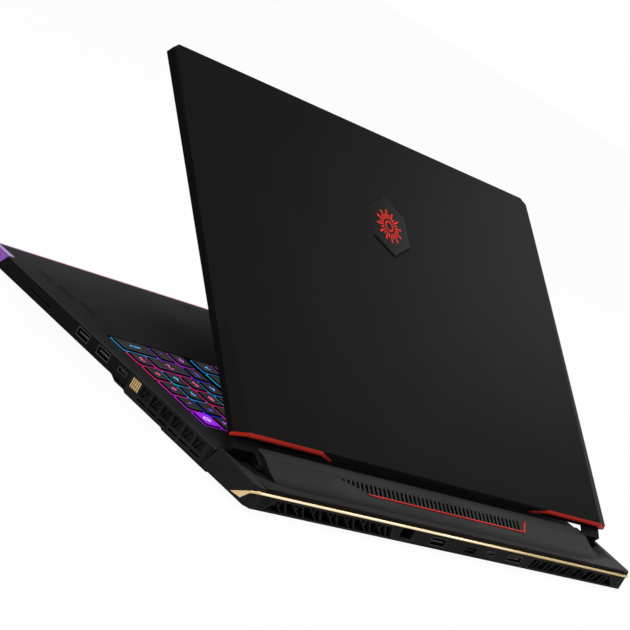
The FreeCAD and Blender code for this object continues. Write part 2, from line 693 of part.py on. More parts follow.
hump_outer = [(HUMP_FRONT_Y, DISH_Z), (HUMP_FRONT_Y + 0.1, HUMP_TOP_Z - 0.7), (HUMP_FRONT_Y + 0.9, HUMP_TOP_Z),
              HUMP_CREASE, HUMP_FOOT_SLOPE, (HUMP_END_Y, DISH_Z)]
hump_inner = [(HUMP_FRONT_Y + HUMP_T, TAIL_UNDER_Z), (HUMP_FRONT_Y + HUMP_T, HUMP_TOP_Z - HUMP_T - 0.2),
              (HUMP_CREASE[0] - 0.3, HUMP_CREASE[1] - HUMP_T),
              (HUMP_FOOT_SLOPE[0] - 0.6, HUMP_FOOT_SLOPE[1] - HUMP_T - 0.1),
              (HUMP_END_Y - 4.0, TAIL_UNDER_Z)]
dish_space = dish()
case = join([case] + [piece.cut(dish_space) for piece in both(wedge)]).cut(case_cuts)
save("top_case", case)
tail_plate = box(-BLOCK_IN_X, BLOCK_IN_X, TAIL_Y, TAIL_REAR, TAIL_UNDER_Z, TAIL_TOP_Z).cut(dish_space)
hump = prism_x(hump_outer, -HUMP_HALF, HUMP_HALF)
tail = join([tail_plate, hump]).cut(prism_x(hump_inner, HUMP_T - HUMP_HALF, HUMP_HALF - HUMP_T))

slope_run = HUMP_FOOT_SLOPE[0] - HUMP_CREASE[0]
slope_fall = HUMP_CREASE[1] - HUMP_FOOT_SLOPE[1]
slope_angle = math.degrees(math.atan2(slope_fall, slope_run))


def on_slope(shape):
    """Lays a piece drawn flat at the origin onto the hump's rear slope."""
    laid = shape.copy()
    laid.rotate(vec(0, 0, 0), vec(1, 0, 0), -slope_angle)
    laid.translate(vec(0, HUMP_CREASE[0], HUMP_CREASE[1]))
    return laid


grille_outline = [(GRILLE_RIGHT_X + 1.0, GRILLE_FROM), (GRILLE_LEFT_X, GRILLE_FROM),
                  (GRILLE_LEFT_X - GRILLE_TAPER, GRILLE_TO), (GRILLE_RIGHT_X + GRILLE_SLANT, GRILLE_TO)]
trim_low = [(GRILLE_LEFT_X - GRILLE_TAPER, GRILLE_TO), (GRILLE_RIGHT_X + GRILLE_SLANT, GRILLE_TO),
            (GRILLE_RIGHT_X + 1.0, GRILLE_FROM), (GRILLE_RIGHT_X + 1.0 - TRIM_W * 1.6, GRILLE_FROM),
            (GRILLE_RIGHT_X + GRILLE_SLANT - TRIM_W * 1.6, GRILLE_TO + TRIM_W),
            (GRILLE_LEFT_X - GRILLE_TAPER - 4.0, GRILLE_TO + TRIM_W)]
grille = prism_z(grille_outline, -GRILLE_T, 0)
slots = []
slot_x = GRILLE_RIGHT_X + GRILLE_SLANT + GRILLE_RIM
slot_from = GRILLE_FROM + GRILLE_RIM
while slot_x + GRILLE_SLOT < GRILLE_LEFT_X - GRILLE_RIM * 6:
    share = min(1.0, (GRILLE_LEFT_X - GRILLE_RIM * 2 - slot_x - GRILLE_SLOT) / (GRILLE_TAPER - GRILLE_LEAN))
    slot_to = slot_from + (GRILLE_TO - GRILLE_RIM - slot_from) * share
    lean = GRILLE_LEAN * share
    slots.append(prism_z([(slot_x, slot_from), (slot_x + GRILLE_SLOT, slot_from),
                          (slot_x + GRILLE_SLOT - lean, slot_to), (slot_x - lean, slot_to)], -GRILLE_T, 0))
    slot_x += GRILLE_PITCH
save("hump_grille", on_slope(grille.cut(slots)))
trim_bar = on_slope(prism_z(trim_low, -GRILLE_T, TRIM_PROUD))
save("grille_trim", trim_bar)
pin_x0 = ARM_IN_X + CRANK_T - PIN_LENGTH
pin_hole = rod_x(HUMP_HALF - HUMP_T, ARM_IN_X, AXIS_Y, AXIS_Z, PIN_R + RUN_GAP)
crank_slot = box(HUMP_HALF, ARM_IN_X + CRANK_T + RUN_GAP, arm_slot_front, AXIS_Y + LUG_R + RUN_GAP,
                 TAIL_UNDER_Z, DISH_LIP_Z)
grille_window = on_slope(prism_z(grille_outline, -4.0, 1.0))
tail = tail.cut(both(arm_slot) + both(crank_slot) + both(pin_hole) + [grille_window, trim_bar])
save("tail_cover", tail)


# Corner blocks: the tail's side walls, leaning at the front and cut off at the rear corner.
leaf_end = TAIL_REAR - LEAF_TAIL * 0.3
leaf_outline = [(Y_REAR - LEAF_L, BOTTOM_Z + LEAF_TIP_RISE), (Y_REAR - LEAF_TAIL, BOTTOM_Z + LEAF_LOW_RISE),
                (leaf_end, LEAF_END_Z), (leaf_end, LEAF_END_Z + GOLD_H)]
leaf = prism_x(leaf_outline, HALF_W - LEAF_T, HALF_W)


def corner_block():
    profile = [(TAIL_Y + SNUG, BOTTOM_Z), (TAIL_Y + SNUG, SIDE_LOW_Z),
               (TAIL_Y + BLOCK_LEAN, BLOCK_TOP_FRONT), (TAIL_REAR, BLOCK_TOP_REAR), (TAIL_REAR, BOTTOM_Z)]
    foot_print = [(BLOCK_IN_X, TAIL_Y), (HALF_W, TAIL_Y), (HALF_W, leaf_end),
                  (HALF_W - LEAF_T, leaf_end), (HALF_W - LEAF_T - LEAF_TURN, TAIL_REAR), (BLOCK_IN_X, TAIL_REAR)]
    block = prism_x(profile, BLOCK_IN_X, HALF_W).common(prism_z(foot_print, 0, DISH_LIP_Z))
    sweep_low = polar(ARM_R_OUT + ARM_PROUD, ARM_TO)[1] - RUN_GAP
    sweep_rear = polar(ARM_R_IN, ARM_TO)[0] + RUN_GAP
    arm_well = box(BLOCK_IN_X, ARM_OUT_X + RUN_GAP, arm_slot_front, sweep_rear, sweep_low, DISH_LIP_Z)
    return block.cut([dish_space, leaf, arm_slot, arm_well])


save("corner_blocks", *both(corner_block()))
turn_x = HALF_W - LEAF_T - LEAF_TURN
gold_bar = prism_z([(HALF_W - CORNER_CUT, Y_REAR), (CORNER_CUT - HALF_W, Y_REAR), (-turn_x, TAIL_REAR),
                    (turn_x, TAIL_REAR)], GOLD_Z, GOLD_Z + GOLD_H)


def gold_turn():
    """Short link that falls from the end of the bar, across the cut corner, to the end of the leaf."""
    bar_end = [vec(HALF_W - CORNER_CUT, Y_REAR, GOLD_Z), vec(HALF_W - CORNER_CUT, Y_REAR, GOLD_Z + GOLD_H),
               vec(turn_x, TAIL_REAR, GOLD_Z + GOLD_H), vec(turn_x, TAIL_REAR, GOLD_Z)]
    leaf_top = LEAF_END_Z + GOLD_H
    leaf_root = [vec(HALF_W, leaf_end, LEAF_END_Z), vec(HALF_W, leaf_end, leaf_top),
                 vec(HALF_W - LEAF_T, leaf_end, leaf_top), vec(HALF_W - LEAF_T, leaf_end, LEAF_END_Z)]
    faces = [flat(bar_end), flat(leaf_root)]
    for corner in range(4):
        after = (corner + 1) % 4
        faces.append(flat([bar_end[corner], bar_end[after], leaf_root[after]]))
        faces.append(flat([bar_end[corner], leaf_root[after], leaf_root[corner]]))
    shell = Part.makeShell(faces)
    shell.sewShape()
    link = Part.Solid(shell)
    if link.Volume < 0:
        link.reverse()
    return link


save("gold_strip", join([gold_bar] + both(gold_turn()) + both(leaf)))


# Rear panel: carries the sockets between the two exhaust vents.
def vent_outline(inner, rim_in):
    """Outline (x, z) of a rear vent from its inner end, drawn in all round."""
    return [(inner + rim_in * 2, VENT_LOW_Z + rim_in), (VENT_OUT_X - rim_in * 2, VENT_LOW_Z + rim_in),
            (VENT_OUT_X - VENT_CUT - rim_in, VENT_TOP_Z - rim_in),
            (inner + VENT_CUT / 2 + rim_in, VENT_TOP_Z - rim_in)]


panel = box(-BLOCK_IN_X, BLOCK_IN_X, TAIL_REAR - REAR_T, TAIL_REAR, BOTTOM_Z, TAIL_UNDER_Z)
panel_cuts = [prism_y(vent_outline(VENT_IN_X, 0), TAIL_REAR - REAR_T, Y_REAR),
              mirror(prism_y(vent_outline(VENT_LEFT_IN_X, 0), TAIL_REAR - REAR_T, Y_REAR))]


def rear_window(x, z, width, height):
    return box(x - width / 2, x + width / 2, TAIL_REAR - REAR_T, TAIL_REAR, z - height / 2, z + height / 2)


panel_cuts += [rear_window(rear_usb_c_x, rear_port_z, USB_C_W, USB_C_H),
               rear_window(hdmi_x, rear_port_z, HDMI_W, HDMI_H),
               rear_window(display_x, rear_port_z, HDMI_W, USB_C_H * 1.4),
               rear_window(power_x, power_z, POWER_W, POWER_H),
               rear_window(lan_x, lan_z, LAN_W, LAN_H)]
save("rear_panel", panel.cut(panel_cuts))


# Rear vents: a chamfered frame with branching fins, one each side.
def strut(x0, z0, x1, z1):
    half = VENT_BAR / 2
    return prism_y([(x0 - half, z0), (x0 + half, z0), (x1 + half, z1), (x1 - half, z1)],
                   TAIL_REAR - REAR_T, TAIL_REAR - 0.4)


def rear_vent(inner):
    frame = prism_y(vent_outline(inner, 0), TAIL_REAR - REAR_T, TAIL_REAR)
    hollow = prism_y(vent_outline(inner, VENT_RIM), TAIL_REAR - REAR_T, TAIL_REAR)
    low = VENT_LOW_Z + VENT_RIM / 2
    high = VENT_TOP_Z - VENT_RIM / 2
    middle = (low + high) / 2
    pitch = (VENT_OUT_X - inner - VENT_CUT * 1.5) / VENT_UNITS
    bars = []
    for unit in range(VENT_UNITS):
        x = inner + VENT_CUT * 0.75 + pitch * unit
        bars.append(strut(x, low, x + pitch * 0.35, high))
        bars.append(strut(x + pitch * 0.25, low, x + pitch * 0.95, high))
        bars.append(strut(x + pitch * 0.6, middle, x + pitch * 0.55, high))
    return join([frame.cut(hollow)] + bars).common(frame)


save("rear_vents", rear_vent(VENT_IN_X), mirror(rear_vent(VENT_LEFT_IN_X)))


# Fin stacks: thin plates on a carrier, behind the rear vents and inside the side vents.
def rear_fins(inner):
    x0 = inner + VENT_RIM
    x1 = FAN_X + OUTLET_HALF - FAN_WALL
    y0 = FAN_Y + FAN_R + 6.0
    y1 = TAIL_REAR - REAR_T
    plates = [box(x0, x1, y0, y1, FIN_TOP_Z - FIN_T, FIN_TOP_Z)]
    for step in range(int((x1 - x0) / FIN_PITCH) + 1):
        x = x0 + FIN_PITCH * step
        plates.append(box(x, min(x + FIN_T, x1), y0, y1, FLOOR_Z, FIN_TOP_Z))
    return join(plates)


def side_fins():
    x0 = HALF_W - 18.0
    x1 = HALF_W - SIDE_VENT_T
    y0 = CELL_FIRST_Y
    y1 = SIDE_OUTLET_TO
    top = CELL_HIGH_Z - 2.6
    plates = [box(x0, x1, y0, y1, top - FIN_T, top)]
    for step in range(int((y1 - y0) / FIN_PITCH) + 1):
        y = y0 + FIN_PITCH * step
        plates.append(box(x0, x1, y, min(y + FIN_T, y1), FLOOR_Z, top))
    return join(plates)


save("fin_stacks", rear_fins(VENT_IN_X), mirror(rear_fins(VENT_LEFT_IN_X)), *both(side_fins()))


# Fans: a volute with a rear and a side outlet, and a bladed rotor on its shaft.
def fan_housing():
    def volume(grow, z0, z1):
        barrel = peg(FAN_X, FAN_Y, z0, z1, FAN_R + grow, FAN_SIDES)
        rear = box(FAN_X - OUTLET_HALF - grow + FAN_WALL, FAN_X + OUTLET_HALF + grow - FAN_WALL, FAN_Y,
                   FAN_Y + FAN_R + 5.5, z0, z1)
        side = box(FAN_X, HALF_W - 18.5, SIDE_OUTLET_FROM - grow, SIDE_OUTLET_TO - FAN_WALL + grow, z0, z1)
        return join([barrel, rear, side])
    shell = volume(FAN_WALL, FLOOR_Z, FAN_TOP_Z).cut(volume(0, FLOOR_Z + FAN_SKIN, FAN_TOP_Z - FAN_SKIN))
    shell = shell.cut(peg(FAN_X, FAN_Y, FAN_TOP_Z - FAN_SKIN, FAN_TOP_Z, INTAKE_R, FAN_SIDES))
    inlet = peg(FAN_X, FAN_Y, FLOOR_Z, FLOOR_Z + FAN_SKIN, INTAKE_R, FAN_SIDES)
    keep = [peg(FAN_X, FAN_Y, FLOOR_Z, FLOOR_Z + FAN_SKIN, HUB_R * 0.5)]
    for spoke in range(3):
        arm = box(0, INTAKE_R + 1.0, -2.0, 2.0, FLOOR_Z, FLOOR_Z + FAN_SKIN)
        arm.rotate(vec(0, 0, 0), vec(0, 0, 1), 120.0 * spoke + 20.0)
        arm.translate(vec(FAN_X, FAN_Y, 0))
        keep.append(arm)
    shell = shell.cut(inlet.cut(keep))
    ends = [box(FAN_X - OUTLET_HALF + FAN_WALL, FAN_X + OUTLET_HALF - FAN_WALL, FAN_Y + FAN_R,
                FAN_Y + FAN_R + 6.0, FLOOR_Z + FAN_SKIN, FAN_TOP_Z - FAN_SKIN),
            box(FAN_X + FAN_R + 2.0, HALF_W - 18.0, SIDE_OUTLET_FROM + FAN_WALL, SIDE_OUTLET_TO - FAN_WALL * 2,
                FLOOR_Z + FAN_SKIN, FAN_TOP_Z - FAN_SKIN)]
    shaft = post(FAN_X, FAN_Y, FLOOR_Z, FAN_TOP_Z - FAN_SKIN - 0.6, SHAFT_R)
    return join([shell.cut(ends), shaft])


def fan_rotor():
    low = FLOOR_Z + FAN_SKIN + 0.4
    high = FAN_TOP_Z - FAN_SKIN - 0.4
    parts = [peg(0, 0, low, high, HUB_R, FAN_SIDES)]
    reach = FAN_R - ROTOR_GAP
    for blade in range(BLADE_COUNT):
        fin = box(HUB_R - 1.5, reach - 3.0, -BLADE_T / 2, BLADE_T / 2, low + 0.4, high - 0.4)
        fin.rotate(vec(HUB_R, 0, 0), vec(0, 0, 1), BLADE_LEAN)
        fin.rotate(vec(0, 0, 0), vec(0, 0, 1), 360.0 / BLADE_COUNT * blade)
        parts.append(fin)
    rotor = join(parts).cut(post(0, 0, low, high, SHAFT_R + SHAFT_CLEAR))
    rotor.translate(vec(FAN_X, FAN_Y, 0))
    return rotor


save("fan_housings", *both(fan_housing()))
right_rotor = fan_rotor()
save("fan_rotor_right", right_rotor)
save("fan_rotor_left", mirror(right_rotor))


# Heat pipes: from the cold plates on the board to the top of the rear fin stacks.
def flat_pipe(points):
    """Flattened pipe: a ribbon of one width along straight runs, mitred at its bends."""
    runs = [vec(x1 - x0, y1 - y0, 0).normalize() for (x0, y0), (x1, y1) in zip(points, points[1:])]
    left = []
    right = []
    for (x, y), before, after in zip(points, runs[:1] + runs, runs + runs[-1:]):
        mean = (before + after).normalize()
        reach = PIPE_W / 2 / mean.dot(after)
        left.append((x - mean.y * reach, y + mean.x * reach))
        right.append((x + mean.y * reach, y - mean.x * reach))
    return prism_z(left + right[::-1], FIN_TOP_Z, FIN_TOP_Z + PIPE_H)


pipes = []
fin_end = FAN_X + OUTLET_HALF - 4.0
for start_x, rise_y, lane_y in ((13.0, TAIL_Y + 24.0, TAIL_Y + 37.6), (26.0, TAIL_Y + 17.0, TAIL_Y + 32.0)):
    bend_x = VENT_IN_X - 2.0 - (TAIL_Y + 24.0 - rise_y) * 0.4
    shift = lane_y - rise_y
    cut = 5.0
    pipes += both(flat_pipe([(start_x, TAIL_Y - 20.0), (start_x, rise_y - cut), (start_x + cut, rise_y),
                             (bend_x, rise_y), (bend_x + shift, lane_y), (fin_end, lane_y)]))
cold_top = FIN_TOP_Z
board_top = BOARD_Z + BOARD_T
cold_plates = both(box(8.0, 34.0, TAIL_Y - 22.0, TAIL_Y + 4.0, board_top, cold_top))
save("heat_pipes", *pipes)
save("cold_plates", *cold_plates)


# Board, memory, storage, battery and speakers.
wing_x = HALF_W - 18.0
wing_rear = TAIL_Y - 86.0
right_board = [(wing_x, board_front), (wing_x, wing_rear), (BOARD_HALF + 8.0, wing_rear),
               (BOARD_HALF, TAIL_Y - 64.0), (BOARD_HALF, TAIL_Y + 28.0)]
board = right_board + [(-x, y) for x, y in reversed(right_board)]
save("main_board", prism_z(board, BOARD_Z, board_top))
save("memory_modules", *[box(-MEMORY_L / 2, MEMORY_L / 2, y, y + MEMORY_W, board_top, board_top + MEMORY_T)
                         for y in (TAIL_Y - 100.0, TAIL_Y - 68.0)])
save("storage_module", box(70.0, 150.0, TAIL_Y - 134.0, TAIL_Y - 112.0, board_top, board_top + 2.2))
battery_y0 = CASE_FRONT + BOTTOM_BEVEL + WALL_T + 8.0
save("battery_pack", box(-BATTERY_HALF, BATTERY_HALF, battery_y0, board_front - 4.0, FLOOR_Z, BATTERY_TOP_Z))
save("speakers", *both(box(BATTERY_HALF + 4.0, HALF_W - 30.0, battery_y0 + 2.0, board_front - 18.0, FLOOR_Z,
                           BATTERY_TOP_Z)))


# Lid cover: a thin shell with bevelled edges, cut top corners and long side facets.
def lid_plan(inset):
    top = LID_TOP_W / 2 - inset
    low = LID_LOW_W / 2 - inset
    front = LID_FRONT_Y + inset
    rear = LID_REAR_Y - inset
    heel_x = LID_LOW_W / 2 - FACET_W
    right = [(top - LID_CUT_X, front), (top, front + LID_CUT_Y), (low, rear - LID_HEEL), (heel_x, rear)]
    return right + [(-x, y) for x, y in reversed(right)]


def facet_cut():
    """Wedge above the plane that falls from the heel line to the lid's outer rear corner."""
    heel = vec(LID_LOW_W / 2 - FACET_W, LID_REAR_Y, LID_HIGH_Z)
    front = vec(LID_TOP_W / 2, LID_FRONT_Y, LID_HIGH_Z)
    outer = vec(LID_LOW_W / 2, LID_REAR_Y - LID_HEEL, LID_HIGH_Z - FACET_DROP)
    normal = (heel - front).cross(outer - front)

    def on_plane(x, y):
        z = front.z - (normal.x * (x - front.x) + normal.y * (y - front.y)) / normal.z
        return vec(x, y, z)
    along = heel - front
    tail_end = heel + along * 0.05
    side = HALF_W + 6.0
    low = flat([front, on_plane(tail_end.x, tail_end.y), on_plane(side, LID_REAR_Y + 6.0),
                on_plane(side, LID_FRONT_Y)])
    return low.extrude(vec(0, 0, LID_T * 2))


lid_edge_z = LID_HIGH_Z - LID_EDGE
lid = join([prism_z(lid_plan(0), LID_LOW_Z, lid_edge_z),
            loft_z((lid_plan(0), lid_edge_z), (lid_plan(LID_EDGE), LID_HIGH_Z))])
lid_inner_z = LID_HIGH_Z - LID_SKIN - FACET_DROP * 0.35


def strip(grow):
    """Red trim bar wrapped over the lid's rear edge, bent down at the facet, with a thin inner tail."""
    rear = LID_REAR_Y + STRIP_PROUD
    low = LID_HIGH_Z - STRIP_H
    top = LID_HIGH_Z + grow
    bar = [(LID_REAR_Y - STRIP_LAP, low), (rear, low), (rear, top - LID_EDGE),
           (rear - LID_EDGE, top), (LID_REAR_Y - STRIP_LAP, top)]
    outer = [(y - LID_HEEL, z - STRIP_DROP) for y, z in bar]
    foot_z = LID_LOW_Z + 0.2
    tail = [(LID_REAR_Y - STRIP_LAP, foot_z), (rear - 0.2, foot_z), (rear - 0.2, foot_z + STRIP_TAIL_H * 0.6),
            (rear - 0.5, foot_z + STRIP_TAIL_H), (LID_REAR_Y - STRIP_LAP, foot_z + STRIP_TAIL_H)]
    heel_x = LID_LOW_W / 2 - FACET_W
    return loft_x((tail, STRIP_IN_X - STRIP_TAIL), (bar, STRIP_IN_X), (bar, heel_x), (outer, LID_LOW_W / 2))


red = strip(0)
red_space = strip(LID_T)
band_half = STRIP_IN_X
band_box = box(-band_half, band_half, LID_REAR_Y - BAND_D, LID_REAR_Y, LID_LOW_Z, LID_HIGH_Z - LID_EDGE)
hollow_rear = LID_REAR_Y - STRIP_LAP - LID_WALL
not_heel = box(-WIDTH, WIDTH, LID_FRONT_Y, hollow_rear, 0, LID_HIGH_Z)
lid_hollow = prism_z(lid_plan(LID_SIDE_WALL), LID_LOW_Z, lid_inner_z).common(not_heel)
plate_y = LID_REAR_Y - PLATE_FROM_REAR
plate_outline = [(PLATE_W / 2, plate_y - PLATE_L / 4), (PLATE_W / 2, plate_y + PLATE_L / 4),
                 (0, plate_y + PLATE_L / 2), (-PLATE_W / 2, plate_y + PLATE_L / 4),
                 (-PLATE_W / 2, plate_y - PLATE_L / 4), (0, plate_y - PLATE_L / 2)]
plate_low = LID_HIGH_Z - PLATE_SUNK
lid = lid.cut([lid_hollow, band_box] + both(facet_cut()) + both(red_space)
              + [prism_z(plate_outline, plate_low, LID_HIGH_Z)])
save("lid_cover", open_lid(lid))
red_cut = [shape.common(box(-WIDTH, WIDTH, 0, WIDTH, LID_LOW_Z, LID_HIGH_Z)) for shape in both(red)]
save("red_strips", *[open_lid(shape) for shape in red_cut])
inner_plate = [(x * 0.9, plate_y + (y - plate_y) * 0.9) for x, y in plate_outline]
save("lid_plate", open_lid(loft_z((plate_outline, plate_low), (plate_outline, LID_HIGH_Z),
                                  (inner_plate, plate_low + PLATE_T))))


# Ribbed band: slanted teeth along the lid's rear edge, between the red bars.
def ribbed_band():
    count = int(2 * band_half / RIB_PITCH)
    back = LID_REAR_Y - BAND_D
    outline = [(band_half, back), (-band_half, back)]
    for rib in range(count):
        x = -band_half + RIB_PITCH * rib
        outline += [(x, LID_REAR_Y - RIB_DEEP), (x + RIB_PITCH * 0.5, LID_REAR_Y - 0.1)]
    outline.append((band_half, LID_REAR_Y - RIB_DEEP))
    band = prism_z(outline, LID_LOW_Z, LID_HIGH_Z - LID_EDGE)
    return band.cut(both(red))


save("ribbed_band", open_lid(ribbed_band()))


# Screen: bezel frame, display panel behind it, camera and closing bumpers.
bezel_plan = lid_plan(LID_SIDE_WALL + SNUG)
screen_y1 = LID_FRONT_Y + SCREEN_FROM_TOP + SCREEN_H
screen_hole = box(-SCREEN_W / 2, SCREEN_W / 2, LID_FRONT_Y + SCREEN_FROM_TOP, screen_y1, LID_LOW_Z,
                  LID_LOW_Z + BEZEL_T)
camera_y = LID_FRONT_Y + (SCREEN_FROM_TOP + LID_SIDE_WALL) / 2
not_heel.translate(vec(0, -SNUG, 0))
bezel = prism_z(bezel_plan, LID_LOW_Z, LID_LOW_Z + BEZEL_T).common(not_heel).cut(
    [screen_hole, peg(0, camera_y, LID_LOW_Z, LID_LOW_Z + BEZEL_T, CAMERA_R + SNUG / 2)])
save("screen_bezel", open_lid(bezel))
panel_z = LID_LOW_Z + BEZEL_T
panel_edge = min(SCREEN_W / 2 + 1.5, LID_TOP_W / 2 - LID_SIDE_WALL - SNUG * 2)
save("display_panel", open_lid(box(-panel_edge, panel_edge, LID_FRONT_Y + SCREEN_FROM_TOP - 1.5,
                                   screen_y1 + 6.0, panel_z, panel_z + PANEL_T)))
save("camera_module", open_lid(peg(0, camera_y, LID_LOW_Z + SNUG / 2, panel_z, CAMERA_R)))
bumper = peg(BUMPER_X, camera_y, LID_LOW_Z - BUMPER_H, LID_LOW_Z, BUMPER_R)
save("lid_bumpers", *[open_lid(shape) for shape in both(bumper)])


# Hinges: curved arms from the lid's heel into the wells, cranked to a pin inside the hump.
def arc_band(radius_in, radius_out, start, end):
    steps = 6
    angles = [start + (end - start) * step / steps for step in range(steps + 1)]
    return [polar(radius_out, a) for a in angles] + [polar(radius_in, a) for a in reversed(angles)]


def hinge_arm():
    heel_front = LID_REAR_Y - ARM_FOOT

    def limb(x0, x1, proud):
        reach = ARM_R_OUT + proud
        curve = prism_x(arc_band(ARM_R_IN, reach, ARM_FROM, ARM_TO), x0, x1)
        root = prism_x([(heel_front, LID_LOW_Z), (LID_REAR_Y, LID_LOW_Z), polar(ARM_R_IN, ARM_FROM),
                        polar(ARM_R_IN, ARM_FROM + 20), polar(reach, ARM_FROM + 20),
                        polar(reach, ARM_FROM + 2)], x0, x1)
        return [curve, root]
    crank = prism_x([polar(ARM_R_OUT, ARM_FROM + 4), polar(ARM_R_OUT, ARM_TO), polar(LUG_R, 270.0),
                     polar(LUG_R, 330.0), polar(LUG_R, 30.0), polar(LUG_R, 90.0)], ARM_IN_X, ARM_IN_X + CRANK_T)
    arm = join(limb(ARM_IN_X, ARM_STEP_X, 0) + limb(ARM_STEP_X, ARM_OUT_X, ARM_PROUD) + [crank])
    return arm.cut(rod_x(ARM_IN_X, ARM_IN_X + CRANK_T, AXIS_Y, AXIS_Z, PIN_R))


right_arm = open_lid(hinge_arm())
save("hinge_arm_right", right_arm)
save("hinge_arm_left", mirror(right_arm))
save("hinge_pins", *both(rod_x(pin_x0, ARM_IN_X + CRANK_T, AXIS_Y, AXIS_Z, PIN_R)))


# Hinge brackets: two lugs on a foot plate, standing on the bottom cover inside the hump.
def hinge_bracket():
    parts = [box(pin_x0, pin_x0 + PIN_LENGTH - CRANK_T - HUMP_T - 2.0, AXIS_Y - BRACKET_FOOT / 2,
                 AXIS_Y + BRACKET_FOOT / 2, FLOOR_Z, FLOOR_Z + BRACKET_T)]
    far = pin_x0 + PIN_LENGTH - CRANK_T - HUMP_T - 2.0 - LUG_T
    for x in (pin_x0, far):
        parts.append(prism_x([polar(LUG_R, 30.0 * side) for side in range(12)], x, x + LUG_T))
        parts.append(prism_x([(AXIS_Y - BRACKET_FOOT / 2, FLOOR_Z), (AXIS_Y + BRACKET_FOOT / 2, FLOOR_Z),
                              (AXIS_Y + LUG_R, AXIS_Z), (AXIS_Y - LUG_R, AXIS_Z)], x, x + LUG_T))
    return join(parts).cut(rod_x(pin_x0, ARM_IN_X, AXIS_Y, AXIS_Z, PIN_R + PIN_CLEAR))


save("hinge_brackets", *both(hinge_bracket()))
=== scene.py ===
import json
import math
import bpy
import numpy as np
from mathutils import Matrix, Vector


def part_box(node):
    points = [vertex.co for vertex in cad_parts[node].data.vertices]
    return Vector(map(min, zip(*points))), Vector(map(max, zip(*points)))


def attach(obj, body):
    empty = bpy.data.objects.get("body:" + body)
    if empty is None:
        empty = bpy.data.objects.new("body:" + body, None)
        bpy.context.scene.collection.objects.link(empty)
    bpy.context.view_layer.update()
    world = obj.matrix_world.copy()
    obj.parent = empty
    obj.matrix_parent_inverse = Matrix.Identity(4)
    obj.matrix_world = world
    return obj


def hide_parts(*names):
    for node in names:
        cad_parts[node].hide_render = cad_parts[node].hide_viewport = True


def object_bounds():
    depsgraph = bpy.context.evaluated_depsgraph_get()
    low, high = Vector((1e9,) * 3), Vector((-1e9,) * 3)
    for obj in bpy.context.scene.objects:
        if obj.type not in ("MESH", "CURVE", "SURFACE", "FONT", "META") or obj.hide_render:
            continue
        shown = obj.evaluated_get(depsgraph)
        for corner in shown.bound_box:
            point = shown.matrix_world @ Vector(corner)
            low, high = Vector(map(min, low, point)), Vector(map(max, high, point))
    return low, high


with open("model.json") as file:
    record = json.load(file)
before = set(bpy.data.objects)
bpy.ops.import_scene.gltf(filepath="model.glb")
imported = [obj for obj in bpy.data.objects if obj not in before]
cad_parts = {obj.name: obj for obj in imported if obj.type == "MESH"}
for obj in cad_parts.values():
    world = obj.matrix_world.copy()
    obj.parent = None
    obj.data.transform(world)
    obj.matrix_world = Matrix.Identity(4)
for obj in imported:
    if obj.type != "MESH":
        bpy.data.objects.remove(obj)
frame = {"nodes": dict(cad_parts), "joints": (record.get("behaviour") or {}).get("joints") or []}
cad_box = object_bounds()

# Bottom cover and feet
# A shallow moulded pan in black polycarbonate, screwed up into the deck.
# The feet are soft rubber bars glued into it.
CLOUD_SCALE = 22.0
CLOUD_DETAIL = 5.0
CLOUD_SPAN = (0.35, 0.65)
GRAIN_DETAIL = 2.0
GRAIN_SPAN = (0.3, 0.7)
GRAIN_HEIGHT = 0.0002
EDGE_SAMPLES = 4
nodes = frame["nodes"]


def opaque_finish(name, dark, light, rough, grain=2600.0, relief=0.05, metallic=0.0, specular=0.03,
                  edge=0.0003, stretch=(1.0, 1.0, 1.0)):
    """Broad cloudy noise moves the colour from dark to light, fine noise moves the roughness over its range
    and raises a shallow grain, and edges are rounded by the given radius."""
    finish = bpy.data.materials.new(name)
    finish.use_nodes = True
    tree = finish.node_tree
    shader = tree.nodes["Principled BSDF"]
    shader.inputs["Metallic"].default_value = metallic
    shader.inputs["Specular IOR Level"].default_value = specular
    shader.inputs["Specular Tint"].default_value = (*light, 1.0) if metallic > 0.5 else (1.0, 1.0, 1.0, 1.0)
    place = tree.nodes.new("ShaderNodeTexCoord")
    turn = tree.nodes.new("ShaderNodeMapping")
    turn.inputs["Scale"].default_value = stretch
    tree.links.new(place.outputs["Object"], turn.inputs["Vector"])
    cloud = tree.nodes.new("ShaderNodeTexNoise")
    cloud.inputs["Scale"].default_value = CLOUD_SCALE
    cloud.inputs["Detail"].default_value = CLOUD_DETAIL
    fine = tree.nodes.new("ShaderNodeTexNoise")
    fine.inputs["Scale"].default_value = grain
    fine.inputs["Detail"].default_value = GRAIN_DETAIL
    for noise in (cloud, fine):
        tree.links.new(turn.outputs["Vector"], noise.inputs["Vector"])
    ramp = tree.nodes.new("ShaderNodeValToRGB")
    for stop, position, colour in zip(ramp.color_ramp.elements, CLOUD_SPAN, (dark, light)):
        stop.position = position
        stop.color = (*colour, 1.0)
    tree.links.new(cloud.outputs["Fac"], ramp.inputs["Fac"])
    tree.links.new(ramp.outputs["Color"], shader.inputs["Base Color"])
    spread = tree.nodes.new("ShaderNodeMapRange")
    spread.inputs["From Min"].default_value = GRAIN_SPAN[0]
    spread.inputs["From Max"].default_value = GRAIN_SPAN[1]
    spread.inputs["To Min"].default_value = rough[0]
    spread.inputs["To Max"].default_value = rough[1]
    tree.links.new(fine.outputs["Fac"], spread.inputs["Value"])
    tree.links.new(spread.outputs["Result"], shader.inputs["Roughness"])
    rounded = tree.nodes.new("ShaderNodeBevel")
    rounded.samples = EDGE_SAMPLES
    rounded.inputs["Radius"].default_value = edge
    raised = tree.nodes.new("ShaderNodeBump")
    raised.inputs["Strength"].default_value = relief
    raised.inputs["Distance"].default_value = GRAIN_HEIGHT
    tree.links.new(fine.outputs["Fac"], raised.inputs["Height"])
    tree.links.new(rounded.outputs["Normal"], raised.inputs["Normal"])
    tree.links.new(raised.outputs["Normal"], shader.inputs["Normal"])
    return finish


